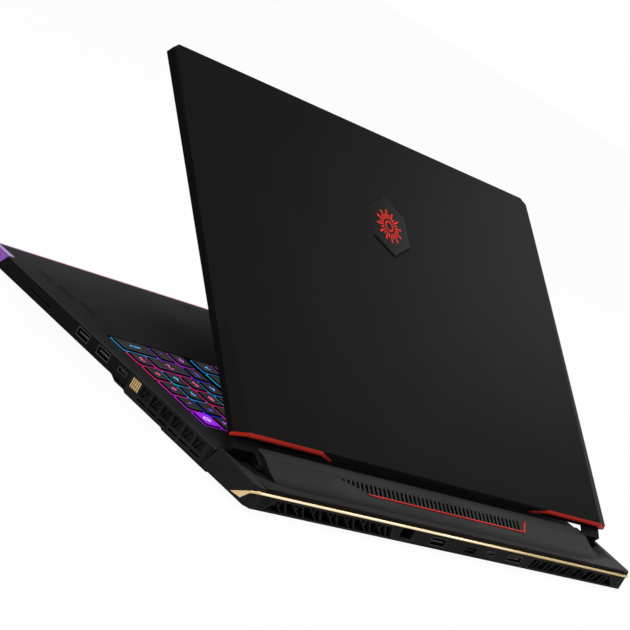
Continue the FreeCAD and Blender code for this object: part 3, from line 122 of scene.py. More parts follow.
def dress(finish, *names):
    """Puts a finish on CAD nodes, in place of the one they came with."""
    for name in names:
        nodes[name].data.materials.clear()
        nodes[name].data.materials.append(finish)


pan_plastic = opaque_finish("pan_plastic", (0.012, 0.012, 0.013), (0.02, 0.02, 0.021), (0.45, 0.62),
                            relief=0.12)
foot_rubber = opaque_finish("foot_rubber", (0.008, 0.008, 0.008), (0.014, 0.014, 0.014), (0.7, 0.85),
                            grain=1800.0, relief=0.2)
screw_steel = opaque_finish("screw_steel", (0.12, 0.12, 0.125), (0.2, 0.2, 0.205), (0.25, 0.4),
                            metallic=1.0)
dress(pan_plastic, "bottom_cover")
dress(foot_rubber, "rubber_feet", "lid_bumpers")
dress(screw_steel, "bottom_screws")

# Boards, battery and speakers
# Glass-fibre boards under solder mask, a battery in black film and moulded speaker boxes.
# They lie on the pan's floor and show only through the vents.
solder_mask = opaque_finish("solder_mask", (0.006, 0.02, 0.014), (0.012, 0.035, 0.022), (0.3, 0.45),
                            grain=700.0, relief=0.1)
black_film = opaque_finish("black_film", (0.008, 0.008, 0.009), (0.014, 0.014, 0.015), (0.4, 0.55),
                           grain=300.0, relief=0.15)
dress(solder_mask, "main_board", "memory_modules", "storage_module")
dress(black_film, "battery_pack", "speakers")

# Cooling
# Drawn copper pipes and plates, stamped fins and black fan housings with glass-filled rotors.
# The fins stand behind the vents of the tail and of the sides.
bare_copper = opaque_finish("bare_copper", (0.42, 0.2, 0.1), (0.55, 0.28, 0.15), (0.25, 0.4),
                            grain=900.0, metallic=1.0)
fin_metal = opaque_finish("fin_metal", (0.012, 0.012, 0.012), (0.02, 0.02, 0.02), (0.4, 0.55), metallic=1.0)
fan_plastic = opaque_finish("fan_plastic", (0.01, 0.01, 0.011), (0.018, 0.018, 0.019), (0.35, 0.5),
                            relief=0.08)
dress(bare_copper, "heat_pipes", "cold_plates")
dress(fin_metal, "fin_stacks")
dress(fan_plastic, "fan_housings", "fan_rotor_right", "fan_rotor_left")

# Sockets
# Folded steel shells round a contact tongue, and black moulded network, power, sound and card inlets.
# Each is soldered to the board and shows its rim in a window of the case.
shell_steel = opaque_finish("shell_steel", (0.05, 0.05, 0.052), (0.08, 0.08, 0.082), (0.3, 0.42),
                            metallic=1.0)
inlet_plastic = opaque_finish("inlet_plastic", (0.008, 0.008, 0.009), (0.014, 0.014, 0.015), (0.35, 0.5))
dress(shell_steel, "usb_a_sockets", "usb_c_sockets", "hdmi_socket", "display_socket")
dress(inlet_plastic, "network_socket", "power_inlet", "audio_jack", "card_reader")

# Keyboard
# Dark grey caps with lit legends, whose walls are near-black as painted shade, each with a clear skirt that
# glows at its foot.
# They are moulded plastic on short stems. Every row is its own piece and travels with its row of the frame.
KEY_UNIT = 0.0184
PAD_UNIT = 0.016
PAD_COLUMNS = 4
KEY_GAP = 0.0016
SPACE_PLACE = 3
STEM_HALF = 0.0015
STEM_CORNER = 0.00045
CAP_HEIGHT = 0.0019
CAP_CORNER = 0.0014
CAP_WALL = 0.0009
SKIRT_DROP = 0.0009
TOP_SHRINK = 0.4
TOP_DISH = 0.0002
LEGEND_HEIGHT = 0.0084
WORD_HEIGHT = 0.0046
LEGEND_THICK = 0.00003
LEGEND_SINK = 0.0001
LEGEND_TINT = 0.85
LEGEND_WHITE = 0.08
LEGEND_GLOW = 1.25
SKIRT_GLOW = 0.6
# Painted shade: the caps' walls, skirts and stems are near-black, their tops grey.
CAP_WALL_SHADE = (0.002, 0.002, 0.002)
CAP_GREY = (0.019, 0.019, 0.02)
CAP_SPECULAR = 0.02
CAP_GRAIN = 4200.0
CAP_ROUGH = (0.4, 0.62)
HUE_MIDDLE = 0.75
HUE_SWING = 0.19
HUE_WAVE = (215.0, -320.0)
HUE_START = 2.2
GLOW_CONTRAST = 1.4
GLOW_LEAST = 0.02
POWER_VIOLET = np.array([0.5, 0.0, 1.2])
MIX_FIRST = 6
MIX_SECOND = 7
MIX_RESULT = 2
# A cap's rings from foot to top: inset from the key's edge, drop below its top, share of glow, share of grey;
# where the grey share is nought, the ring is black as painted shade.
CAP_RINGS = (
    (0.0002, CAP_HEIGHT, 0.0, 0.0),
    (0.0, CAP_HEIGHT * 0.9, 0.0, 0.0),
    (0.0, SKIRT_DROP + 0.0004, 0.0, 0.0),
    (0.0, SKIRT_DROP + 0.00036, 1.0, 0.0),
    (0.0, SKIRT_DROP + 0.0001, 1.0, 0.0),
    (0.0001, SKIRT_DROP, 1.0, 0.0),
    (0.0004, SKIRT_DROP, 1.0, 0.0),
    (0.00042, SKIRT_DROP, 0.0, 0.0),
    (CAP_WALL, SKIRT_DROP - 0.00006, 0.0, 0.0),
    (CAP_WALL + 0.0001, 0.00018, 0.0, 0.0),
    (CAP_WALL + 0.00025, 0.00004, 0.0, 1.0),
    (CAP_WALL + 0.0005, 0.0, 0.0, 1.0),
    (CAP_WALL + 0.0016, 0.00012, 0.0, 1.0))
MAIN_ROWS = (
    (("esc", 1), ("f1", 1), ("f2", 1), ("f3", 1), ("f4", 1), ("f5", 1), ("f6", 1), ("f7", 1), ("f8", 1),
     ("f9", 1), ("f10", 1), ("f11", 1), ("f12", 1), ("prt", 1), ("del", 1)),
    (("`", 1), ("1", 1), ("2", 1), ("3", 1), ("4", 1), ("5", 1), ("6", 1), ("7", 1), ("8", 1), ("9", 1),
     ("0", 1), ("-", 1), ("=", 1), ("back", 2)),
    (("tab", 1.5), ("q", 1), ("w", 1), ("e", 1), ("r", 1), ("t", 1), ("y", 1), ("u", 1), ("i", 1), ("o", 1),
     ("p", 1), ("[", 1), ("]", 1), ("|", 1.5)),
    (("caps", 1.75), ("a", 1), ("s", 1), ("d", 1), ("f", 1), ("g", 1), ("h", 1), ("j", 1), ("k", 1),
     ("l", 1), (";", 1), ("'", 1), ("enter", 2.25)),
    (("shift", 2.25), ("z", 1), ("x", 1), ("c", 1), ("v", 1), ("b", 1), ("n", 1), ("m", 1), (",", 1),
     (".", 1), ("/", 1), ("shift", 1.75), ("^", 1)),
    (("ctrl", 1.25), ("fn", 1.25), ("alt", 1.25), ("", 5.25), ("alt", 1), ("fn", 1), ("ctrl", 1), ("<", 1),
     ("v", 1), (">", 1)))
PAD_ROWS = (
    (("home", 1), ("end", 1), ("pg", 1), ("", 1)),
    (("num", 1), ("/", 1), ("*", 1), ("-", 1)),
    (("7", 1), ("8", 1), ("9", 1), ("+", 1)),
    (("4", 1), ("5", 1), ("6", 1), ("+", 1)),
    (("1", 1), ("2", 2), ("3", 1)),
    (("0", 1), (".", 1), ("enter", 2)))
ROW_BODIES = ("function_keys", "number_keys", "upper_keys", "home_keys", "lower_keys", "bottom_keys")


def backlight_colour(x, y):
    """Hue that swings in a slanting sine wave over the deck, from cyan through blue and violet to pink.
    Red, green and blue are each a trapezium of the hue, a third of a turn apart."""
    hue = HUE_MIDDLE + HUE_SWING * math.sin(HUE_WAVE[0] * x + HUE_WAVE[1] * y + HUE_START)
    sixths = (hue * 6.0 + np.array([0.0, 4.0, 2.0])) % 6.0
    return np.clip(np.abs(sixths - 3.0) - 1.0, 0.0, 1.0) ** GLOW_CONTRAST + GLOW_LEAST


def mesh_piece(name, points, faces, finish, body, colours=None, smooth=False):
    """Object at the origin with its place in its mesh, riding a body."""
    mesh = bpy.data.meshes.new(name)
    mesh.from_pydata(np.asarray(points).tolist(), [], faces)
    mesh.update()
    if colours is not None:
        layer = mesh.color_attributes.new("glow", "FLOAT_COLOR", "POINT")
        rgba = np.ones((len(points), 4), np.float32)
        rgba[:, :colours.shape[1]] = colours
        layer.data.foreach_set("color", rgba.ravel())
    mesh.materials.append(finish)
    if smooth:
        mesh.polygons.foreach_set("use_smooth", np.ones(len(mesh.polygons), bool))
    piece = bpy.data.objects.new(name, mesh)
    bpy.context.scene.collection.objects.link(piece)
    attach(piece, body)
    return piece


def ring_faces(rings, count, start=0):
    """Quads between neighbouring closed rings of points, and one many-sided face over each end."""
    row = start + np.arange(rings - 1)[:, None] * count
    column = np.arange(count)[None, :]
    after = (column + 1) % count
    quads = np.stack([row + column, row + after, row + count + after, row + count + column], -1)
    last = start + (rings - 1) * count
    foot = list(range(start, start + count))[::-1]
    top = list(range(last, last + count))
    return quads.reshape(-1, 4).tolist() + [foot, top]


def rounded_outline(x0, x1, y0, y1, corner, per_corner=4):
    """Rectangle with quarter-circle corners, anticlockwise, as an (n, 2) array."""
    step = np.linspace(0.0, math.pi / 2, per_corner)
    angle = (step[None, :] + np.arange(4)[:, None] * math.pi / 2).ravel()
    centre_x = np.repeat([x1 - corner, x0 + corner, x0 + corner, x1 - corner], per_corner)
    centre_y = np.repeat([y1 - corner, y1 - corner, y0 + corner, y0 + corner], per_corner)
    return np.stack([centre_x + corner * np.cos(angle), centre_y + corner * np.sin(angle)], -1)


def key_cap(x0, x1, y0, y1, low, high):
    """Cap and stem as stacked rings: square stem, skirt with a flat shoulder, upright wall, rounded edge and
    dished top. Gives the points, their shares of glow and grey, the number of rings and of points in
    one ring."""
    middle = np.array([(x0 + x1) / 2, (y0 + y1) / 2])
    stem = rounded_outline(middle[0] - STEM_HALF, middle[0] + STEM_HALF,
                           middle[1] - STEM_HALF, middle[1] + STEM_HALF, STEM_CORNER)
    levels = [(stem, low, 0.0, 0.0), (stem, high - CAP_HEIGHT, 0.0, 0.0)]
    for inset, drop, lit, grey in CAP_RINGS:
        outline = rounded_outline(x0 + inset, x1 - inset, y0 + inset, y1 - inset, CAP_CORNER)
        levels.append((outline, high - drop, lit, grey))
    levels.append((middle + (outline - middle) * TOP_SHRINK, high - TOP_DISH, 0.0, 1.0))
    rings = [np.column_stack([ring, np.full(len(ring), z)]) for ring, z, lit, grey in levels]
    shares = np.repeat([level[2:] for level in levels], len(stem), axis=0)
    return np.concatenate(rings), shares, len(rings), len(stem)


def legend(word, place, start):
    """Flat letters, made a thin mesh and carried to the top of their key."""
    letters = bpy.data.curves.new("letters", "FONT")
    letters.body = word
    letters.align_x = "CENTER"
    letters.align_y = "CENTER"
    letters.size = LEGEND_HEIGHT if len(word) == 1 else WORD_HEIGHT
    letters.resolution_u = 1
    letters.extrude = LEGEND_THICK
    holder = bpy.data.objects.new("letters", letters)
    mesh = bpy.data.meshes.new_from_object(holder)
    points = np.empty(len(mesh.vertices) * 3)
    mesh.vertices.foreach_get("co", points)
    faces = [(np.array(polygon.vertices) + start).tolist() for polygon in mesh.polygons]
    bpy.data.objects.remove(holder)
    bpy.data.curves.remove(letters)
    bpy.data.meshes.remove(mesh)
    return points.reshape(-1, 3) + place, faces


def lit_plastic(name, strength):
    """The piece's glow attribute gives the light, and its alpha the step from black, painted shade on the cap
    walls, to grey.
    """
    finish = bpy.data.materials.new(name)
    finish.use_nodes = True
    tree = finish.node_tree
    shader = tree.nodes["Principled BSDF"]
    shader.inputs["Specular IOR Level"].default_value = CAP_SPECULAR
    shader.inputs["Emission Strength"].default_value = strength
    glow = tree.nodes.new("ShaderNodeAttribute")
    glow.attribute_name = "glow"
    tone = tree.nodes.new("ShaderNodeMix")
    tone.data_type = "RGBA"
    tone.inputs[MIX_FIRST].default_value = (*CAP_WALL_SHADE, 1.0)
    tone.inputs[MIX_SECOND].default_value = (*CAP_GREY, 1.0)
    place = tree.nodes.new("ShaderNodeTexCoord")
    fine = tree.nodes.new("ShaderNodeTexNoise")
    fine.inputs["Scale"].default_value = CAP_GRAIN
    spread = tree.nodes.new("ShaderNodeMapRange")
    spread.inputs["To Min"].default_value = CAP_ROUGH[0]
    spread.inputs["To Max"].default_value = CAP_ROUGH[1]
    tree.links.new(place.outputs["Object"], fine.inputs["Vector"])
    tree.links.new(fine.outputs["Fac"], spread.inputs["Value"])
    tree.links.new(spread.outputs["Result"], shader.inputs["Roughness"])
    tree.links.new(glow.outputs["Alpha"], tone.inputs["Factor"])
    tree.links.new(tone.outputs[MIX_RESULT], shader.inputs["Base Color"])
    tree.links.new(glow.outputs["Color"], shader.inputs["Emission Color"])
    return finish


cap_plastic = lit_plastic("cap_plastic", SKIRT_GLOW)
legend_light = lit_plastic("legend_light", LEGEND_GLOW)


def key_piece(name, body, node, keys, low, high, whole=None):
    """One body's keys: all caps in one mesh, lit at the skirt or all over in one colour, and all legends in
    another mesh. A key takes the backlight's colour at its middle."""
    caps, cap_faces, cap_glow = [], [], []
    words, word_faces, word_glow = [], [], []
    for word, x0, x1, y0, y1 in keys:
        x, y = (x0 + x1) / 2, (y0 + y1) / 2
        colour = backlight_colour(x, y) if whole is None else whole
        cap, shares, rings, count = key_cap(x0, x1, y0, y1, low, high)
        lit = shares[:, :1] if whole is None else shares.max(axis=1, keepdims=True)
        cap_faces += ring_faces(rings, count, start=len(caps) * len(cap))
        caps.append(cap)
        cap_glow.append(np.column_stack([lit * colour, shares[:, 1]]))
        if word:
            letters, faces = legend(word, (x, y, high - LEGEND_SINK), sum(len(done) for done in words))
            word_faces += faces
            words.append(letters)
            word_glow.append(np.tile(colour * LEGEND_TINT + LEGEND_WHITE, (len(letters), 1)))
    piece = mesh_piece(name, np.concatenate(caps), cap_faces, cap_plastic, body,
                       np.concatenate(cap_glow))
    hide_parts(node)
    if words:
        mesh_piece(name + "_legends", np.concatenate(words), word_faces, legend_light, body,
                   np.concatenate(word_glow))


main_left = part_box("key_row_2")[0].x - KEY_GAP / 2
pad_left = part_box("key_row_2")[1].x + KEY_GAP / 2 - PAD_COLUMNS * PAD_UNIT
last_row = len(ROW_BODIES) - 1
for row, body in enumerate(ROW_BODIES):
    node = "key_row_%d" % (row + 1)
    near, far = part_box(node)
    keys = []
    for x, unit, words in ((main_left, KEY_UNIT, MAIN_ROWS[row]), (pad_left, PAD_UNIT, PAD_ROWS[row])):
        for word, width in words:
            keys.append((word, x + KEY_GAP / 2, x + width * unit - KEY_GAP / 2, near.y, far.y))
            x += width * unit
    if row == 0:
        key_piece("power_cap", "power_button", "power_key", [keys.pop()], near.z, far.z, POWER_VIOLET)
    if row == last_row:
        key_piece("space_cap", "space_key", "space_bar", [keys.pop(SPACE_PLACE)], near.z, far.z)
    key_piece("caps_row_%d" % (row + 1), body, node, keys, near.z, far.z)

# Keyboard tray
# A stamped steel tray under black film, riveted below the deck.
# Its film is near-black, darker than the other black plastics, as painted shade: it closes the gaps between
# the caps, so they look black from above.
# Painted shade: the tray is near-black so the gaps between the caps read as shadow.
tray_shade_film = opaque_finish("tray_shade_film", (0.003, 0.003, 0.003), (0.005, 0.005, 0.005), (0.5, 0.65),
                          grain=1500.0, specular=0.0)
dress(tray_shade_film, "keyboard_plate")

# Power symbol
# A broken ring and a short bar on the power key.
# They are clear windows left open in its paint, so they show white.
POWER_RING = 0.0026
POWER_LINE = 0.0005
POWER_SWEEP = (math.radians(130.0), math.radians(410.0))
POWER_STEPS = 25
POWER_BAR = (0.00026, 0.00299)
POWER_WHITE = 0.9


def power_symbol():
    """Thin strips with an oblong section carried along a path: an arc for the ring and, in its gap, a line
    for the bar."""
    low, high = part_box("power_key")
    centre = np.array(((low + high) / 2).xy)
    angle = np.linspace(*POWER_SWEEP, POWER_STEPS)
    around = np.stack([np.cos(angle), np.sin(angle)], -1)
    bar = np.column_stack([np.zeros(len(POWER_BAR)), POWER_BAR])
    half = np.array([POWER_LINE / 2, 0.0])
    height = high.z - LEGEND_SINK + LEGEND_THICK * np.array([-1.0, -1.0, 1.0, 1.0])
    points, faces = [], []
    for inner, outer in ((around * (POWER_RING - POWER_LINE), around * POWER_RING), (bar - half, bar + half)):
        flat = centre + np.stack([outer, inner, inner, outer], axis=1)
        lift = np.broadcast_to(height, flat.shape[:2])[..., None]
        faces += ring_faces(len(flat), len(height), start=sum(len(done) for done in points))
        points.append(np.concatenate([flat, lift], axis=2).reshape(-1, 3))
    return np.concatenate(points), faces


points, faces = power_symbol()
mesh_piece("power_symbol", points, faces, legend_light, "power_button",
           np.full((len(points), 3), POWER_WHITE))

# Top case
# A bead-blasted aluminium deck, anodised charcoal, with darker side walls.
# Its windows take the keys, the pad, the vents and the sockets.
DECK_EDGE = 0.0009
EDGE_FADE = 0.00001
SIDE_TONE = (0.012, 0.012, 0.0122)


def fade(finish, axis, second_at, first_at, colour):
    """Turns a finish to a second colour along one axis: a smooth step on an Object coordinate, which is all
    of the second colour at one place and all of the first at the other."""
    tree = finish.node_tree
    paint = tree.nodes["Principled BSDF"].inputs["Base Color"]
    first = paint.links[0].from_socket
    place = tree.nodes.new("ShaderNodeTexCoord")
    split = tree.nodes.new("ShaderNodeSeparateXYZ")
    share = tree.nodes.new("ShaderNodeMapRange")
    share.interpolation_type = "SMOOTHSTEP"
    share.inputs["From Min"].default_value = second_at
    share.inputs["From Max"].default_value = first_at
    tone = tree.nodes.new("ShaderNodeMix")
    tone.data_type = "RGBA"
    tone.inputs[MIX_FIRST].default_value = (*colour, 1.0)
    tree.links.new(place.outputs["Object"], split.inputs["Vector"])
    tree.links.new(split.outputs[axis], share.inputs["Value"])
    tree.links.new(share.outputs["Result"], tone.inputs["Factor"])
    tree.links.new(first, tone.inputs[MIX_SECOND])
    tree.links.new(tone.outputs[MIX_RESULT], paint)


deck_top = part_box("top_case")[1].z
deck_metal = opaque_finish("deck_metal", (0.034, 0.034, 0.0345), (0.041, 0.041, 0.0415), (0.42, 0.52),
                           grain=5200.0, relief=0.06, specular=0.0)
fade(deck_metal, "Z", deck_top - DECK_EDGE, deck_top - DECK_EDGE + EDGE_FADE, SIDE_TONE)
dress(deck_metal, "top_case")

# Touchpad
# A sheet of etched glass, printed dark on its underside and flush in the deck.
# It is bonded to a sprung plate that clicks.
pad_glass = opaque_finish("pad_glass", (0.033, 0.033, 0.034), (0.037, 0.037, 0.038), (0.36, 0.44),
                          grain=4000.0, relief=0.01, specular=0.0)
dress(pad_glass, "touchpad")

# Speaker slots
# Rows of fine slanted slots milled in the deck over each speaker, near the front corners.
# Each is a thin black bar on the deck, painted shade for the dark inside of the slot.
SLOT_HALF_LENGTH = 0.0042
SLOT_HALF_WIDTH = 0.00022
SLOT_PITCH = 0.0019
SLOT_SLANT = math.radians(28.0)
SLOT_BANDS = 3
SLOTS_PER_BAND = 9
BAND_STEP = (-0.0045, 0.0195)
FIRST_SLOT = (0.172, -0.116)
SLOT_FACE = 0.00002


def box_faces(count):
    """Six outward quads for each box, whose corners are four below, anticlockwise, and then four above."""
    quads = np.array([[3, 2, 1, 0], [4, 5, 6, 7], [0, 1, 5, 4], [1, 2, 6, 5], [2, 3, 7, 6], [3, 0, 4, 7]])
    return (quads[None] + np.arange(count)[:, None, None] * 8).reshape(-1, 4)


def speaker_slots(side):
    """Thin flat bars with a long and a cross axis at the slant, set out along Y in bands that step inwards.
    The left side mirrors X and so turns its faces round."""
    band, slot = [grid.ravel() for grid in np.meshgrid(np.arange(SLOT_BANDS), np.arange(SLOTS_PER_BAND))]
    centre = np.column_stack([FIRST_SLOT[0] + BAND_STEP[0] * band,
                              FIRST_SLOT[1] + BAND_STEP[1] * band + SLOT_PITCH * slot])
    along = np.array([math.cos(SLOT_SLANT), math.sin(SLOT_SLANT)]) * SLOT_HALF_LENGTH
    across = np.array([-math.sin(SLOT_SLANT), math.cos(SLOT_SLANT)]) * SLOT_HALF_WIDTH
    corners = centre[:, None, :] + np.array([-along - across, along - across, along + across, across - along])
    corners[..., 0] *= side
    flat = np.concatenate([corners, corners], axis=1)
    height = np.broadcast_to(deck_top + SLOT_FACE * np.repeat([-1.0, 1.0], 4), flat.shape[:2])
    points = np.concatenate([flat, height[..., None]], axis=2).reshape(-1, 3)
    return points, box_faces(len(centre))[:, ::side].tolist()


# Painted shade: near-black bars stand for the dark insides of the slots.
slot_shade = opaque_finish("slot_shade", (0.006, 0.006, 0.006), (0.009, 0.009, 0.009), (0.6, 0.7),
                           specular=0.0)
for side, name in ((1, "speaker_slots_right"), (-1, "speaker_slots_left")):
    points, faces = speaker_slots(side)
    mesh_piece(name, points, faces, slot_shade, "base")

# Front lights
# Translucent plastic bars lit from behind, violet at the corners and red in the middle.
# The corners are faceted blocks of the same plastic, set into the ends of the front edge.
VIOLET = (0.2, 0.02, 0.42)
MAGENTA = (0.5, 0.03, 0.3)
DEEP_RED = (0.5, 0.02, 0.03)
BAR_STOPS = ((0.0, DEEP_RED), (0.45, DEEP_RED), (0.75, MAGENTA), (1.0, VIOLET))
CORNER_STOPS = ((0.0, VIOLET), (1.0, VIOLET))
UNLIT_VIOLET = (0.05, 0.015, 0.08)
LIGHT_ROUGH = 0.18
FACET_SCALE = 170.0
FACET_SHARE = 0.55


def light_bar(name, strength, stops):
    """Lit plastic whose colour follows the distance from the middle along X, read from a ramp, and is broken
    into cells of different brightness."""
    finish = bpy.data.materials.new(name)
    finish.use_nodes = True
    tree = finish.node_tree
    shader = tree.nodes["Principled BSDF"]
    shader.inputs["Base Color"].default_value = (*UNLIT_VIOLET, 1.0)
    shader.inputs["Roughness"].default_value = LIGHT_ROUGH
    shader.inputs["Emission Strength"].default_value = strength
    place = tree.nodes.new("ShaderNodeTexCoord")
    split = tree.nodes.new("ShaderNodeSeparateXYZ")
    away = tree.nodes.new("ShaderNodeMath")
    away.operation = "ABSOLUTE"
    reach = tree.nodes.new("ShaderNodeMapRange")
    reach.inputs["From Max"].default_value = cad_box[1][0]
    ramp = tree.nodes.new("ShaderNodeValToRGB")
    for end, (position, colour) in zip(ramp.color_ramp.elements, (stops[0], stops[-1])):
        end.position = position
        end.color = (*colour, 1.0)
    for position, colour in stops[1:-1]:
        ramp.color_ramp.elements.new(position).color = (*colour, 1.0)
    facet = tree.nodes.new("ShaderNodeTexVoronoi")
    facet.inputs["Scale"].default_value = FACET_SCALE
    shade = tree.nodes.new("ShaderNodeMix")
    shade.data_type = "RGBA"
    shade.blend_type = "MULTIPLY"
    shade.inputs["Factor"].default_value = FACET_SHARE
    tree.links.new(place.outputs["Object"], split.inputs["Vector"])
    tree.links.new(place.outputs["Object"], facet.inputs["Vector"])
    tree.links.new(split.outputs["X"], away.inputs[0])
    tree.links.new(away.outputs["Value"], reach.inputs["Value"])
    tree.links.new(reach.outputs["Result"], ramp.inputs["Fac"])
    tree.links.new(ramp.outputs["Color"], shade.inputs[MIX_FIRST])
    tree.links.new(facet.outputs["Color"], shade.inputs[MIX_SECOND])
    tree.links.new(shade.outputs[MIX_RESULT], shader.inputs["Emission Color"])
    return finish


bar_light = light_bar("bar_light", strength=0.9, stops=BAR_STOPS)
corner_light = light_bar("corner_light", strength=0.8, stops=CORNER_STOPS)
dress(bar_light, "front_light_bar")
dress(corner_light, "light_corners")

# Side vents
# Black moulded grilles with square cells over a woven wire mesh, clipped into the side walls.
# The first cell on the right shows gilded fins.
MESH_PITCH = 0.0013
WIRE = 0.00028
CELL_FIRST_Y = 0.023
CELL_PITCH = 0.0112
CELL_WIDTH = 0.009
CELL_LOW = 0.0074
CELL_HIGH = 0.0138
CELL_COUNT = 7
FINGER_COUNT = 5
FINGER_WIDTH = 0.001
FINGER_MARGIN = 0.0004
FINGER_DEPTHS = (0.0025, 0.0003)
RUNG_COUNT = 3
RUNG_HEIGHT = 0.0006
RUNG_FOOT = 0.0008
RUNG_TOP = 0.0012
RUNG_DEPTHS = (0.0022, 0.0008)


def bars(boxes):
    """Closed boxes from (n, 6) rows of low and high corners: eight points and six quads each."""
    pick = np.array([[0, 1, 2], [3, 1, 2], [3, 4, 2], [0, 4, 2], [0, 1, 5], [3, 1, 5], [3, 4, 5], [0, 4, 5]])
    points = np.asarray(boxes, float)[:, pick].reshape(-1, 3)
    return points, box_faces(len(boxes)).tolist()


def wire_mesh(side):
    """Crossed wires just inside every cell but the first on the right."""
    inner = abs(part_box("side_vent_right")[0].x)
    x0, x1 = sorted((side * inner, side * (inner + WIRE * 2)))
    wires = []
    for cell in range(1 if side > 0 else 0, CELL_COUNT):
        y0 = CELL_FIRST_Y + CELL_PITCH * cell
        for y in np.arange(y0, y0 + CELL_WIDTH, MESH_PITCH):
            wires.append((x0, y, CELL_LOW, x1, y + WIRE, CELL_HIGH))
        for z in np.arange(CELL_LOW, CELL_HIGH, MESH_PITCH):
            wires.append((x0, y0, z, x1, y0 + CELL_WIDTH, z + WIRE))
    return bars(wires)


def gilt_comb():
    """Upright fingers spaced evenly over the first cell on the right, crossed by level rungs."""
    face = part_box("side_vent_right")[1].x
    cell_end = CELL_FIRST_Y + CELL_WIDTH
    last_finger = cell_end - FINGER_MARGIN - FINGER_WIDTH
    finger_y = np.linspace(CELL_FIRST_Y + FINGER_MARGIN, last_finger, FINGER_COUNT)
    rung_z = np.linspace(CELL_LOW + RUNG_FOOT, CELL_HIGH - RUNG_TOP, RUNG_COUNT)
    finger_back, finger_front = face - np.array(FINGER_DEPTHS)
    rung_back, rung_front = face - np.array(RUNG_DEPTHS)
    rungs = [(rung_back, CELL_FIRST_Y, z, rung_front, cell_end, z + RUNG_HEIGHT) for z in rung_z]
    fingers = [(finger_back, y, CELL_LOW, finger_front, y + FINGER_WIDTH, CELL_HIGH) for y in finger_y]
    return bars(rungs + fingers)


vent_plastic = opaque_finish("vent_plastic", (0.011, 0.011, 0.012), (0.019, 0.019, 0.02), (0.4, 0.55),
                             relief=0.1)
wire_steel = opaque_finish("wire_steel", (0.03, 0.03, 0.031), (0.05, 0.05, 0.051), (0.4, 0.5))
gilt = opaque_finish("gilt", (0.5, 0.33, 0.15), (0.66, 0.46, 0.23), (0.2, 0.32), grain=1500.0, relief=0.02,
                     metallic=1.0, specular=0.5, edge=0.0002, stretch=(0.15, 1.0, 1.0))
dress(vent_plastic, "side_vent_right", "side_vent_left")
for side, name in ((1, "wire_mesh_right"), (-1, "wire_mesh_left")):
    points, faces = wire_mesh(side)
    mesh_piece(name, points, faces, wire_steel, "base")
points, faces = gilt_comb()
mesh_piece("gilt_fins", points, faces, gilt, "base")

# Tail
# A dished plastic cover in warm dark grey with a raised hump, set between two corner blocks.
# The dish has painted shade, darker towards its floor, and the grille in the hump has a thin red edge.
DISH_FLOOR = -0.0011
DISH_LIP = 0.0014
DISH_PAINTED_SHADE = (0.005, 0.0047, 0.0046)
tail_plastic = opaque_finish("tail_plastic", (0.016, 0.015, 0.0148), (0.022, 0.0208, 0.0204), (0.38, 0.48),
                             grain=5200.0, relief=0.06, specular=0.018)
panel_plastic = opaque_finish("panel_plastic", (0.009, 0.009, 0.009), (0.013, 0.013, 0.013), (0.4, 0.52),
                              grain=3600.0, relief=0.08, specular=0.02)
vent_fin = opaque_finish("vent_fin", (0.013, 0.013, 0.013), (0.018, 0.018, 0.018), (0.4, 0.5))
red_paint = opaque_finish("red_paint", (0.42, 0.024, 0.015), (0.5, 0.03, 0.019), (0.35, 0.45),
                          grain=3800.0, relief=0.03, specular=0.012)
gold_metal = opaque_finish("gold_metal", (0.62, 0.44, 0.22), (0.76, 0.57, 0.31), (0.16, 0.28), grain=1800.0,
                           relief=0.02, metallic=1.0, specular=0.5, edge=0.0007, stretch=(0.08, 1.0, 1.0))
shaded_dish_plastic = tail_plastic.copy()
shaded_dish_plastic.name = "shaded_dish_plastic"
# Painted shade: the tail cover darkens towards the floor of its dish.
fade(shaded_dish_plastic, "Z", deck_top + DISH_FLOOR, deck_top + DISH_LIP, DISH_PAINTED_SHADE)
dress(tail_plastic, "corner_blocks", "hump_grille")
dress(shaded_dish_plastic, "tail_cover")
dress(panel_plastic, "rear_panel")
dress(vent_fin, "rear_vents")
dress(red_paint, "grille_trim", "red_strips")
dress(gold_metal, "gold_strip")

# Gold bead, a painted highlight
# A fine half-round bead along the middle of the gold strip, drawn in brass and plated.
# Its near-white gold is a painted highlight, lighter than the brushed strip that it is pressed into.
BEAD_HALF = 0.00052
BEAD_PROUD = 0.00022
BEAD_END = 0.0036
BEAD_SINK = 0.0001
BEAD_POINTS = 9
STRIP_HALF = 0.00075


def bead():
    """Half ellipse in Y and Z, closed by a flat back inside the strip, carried straight along X."""
    low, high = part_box("gold_strip")
    angle = np.linspace(-math.pi / 2, math.pi / 2, BEAD_POINTS)
    y = high.y - BEAD_SINK + (BEAD_PROUD + BEAD_SINK) * np.cos(angle)
    z = high.z - STRIP_HALF + BEAD_HALF * np.sin(angle)
    ends = [np.column_stack([np.full(BEAD_POINTS, x), y, z]) for x in (low.x + BEAD_END, high.x - BEAD_END)]
    return np.concatenate(ends), ring_faces(len(ends), BEAD_POINTS)


# Painted highlight: the bead's near-white gold stands for the bright core of the strip.
bead_highlight = opaque_finish("bead_highlight", (0.92, 0.8, 0.56), (1.0, 0.92, 0.7), (0.12, 0.2), grain=1800.0,
                           relief=0.02, metallic=1.0, specular=0.5, edge=0.0001, stretch=(0.08, 1.0, 1.0))
points, faces = bead()
mesh_piece("gold_bead", points, faces, bead_highlight, "base", smooth=True)

# Hinges
# Cast zinc arms screwed to the lid, which turn on steel pins in the tail.
# The arms are near-black as painted shade for the shadow they sit in, and the pins and brackets stay bare.
# Painted shade: the arms' near-black stands for the shadow round the hinge.
hinge_shade_paint = opaque_finish("hinge_shade_paint", (0.006, 0.006, 0.006), (0.009, 0.009, 0.009), (0.35, 0.45),
                            grain=3000.0, specular=0.015)
dress(hinge_shade_paint, "hinge_arm_right", "hinge_arm_left")
dress(screw_steel, "hinge_pins", "hinge_brackets")

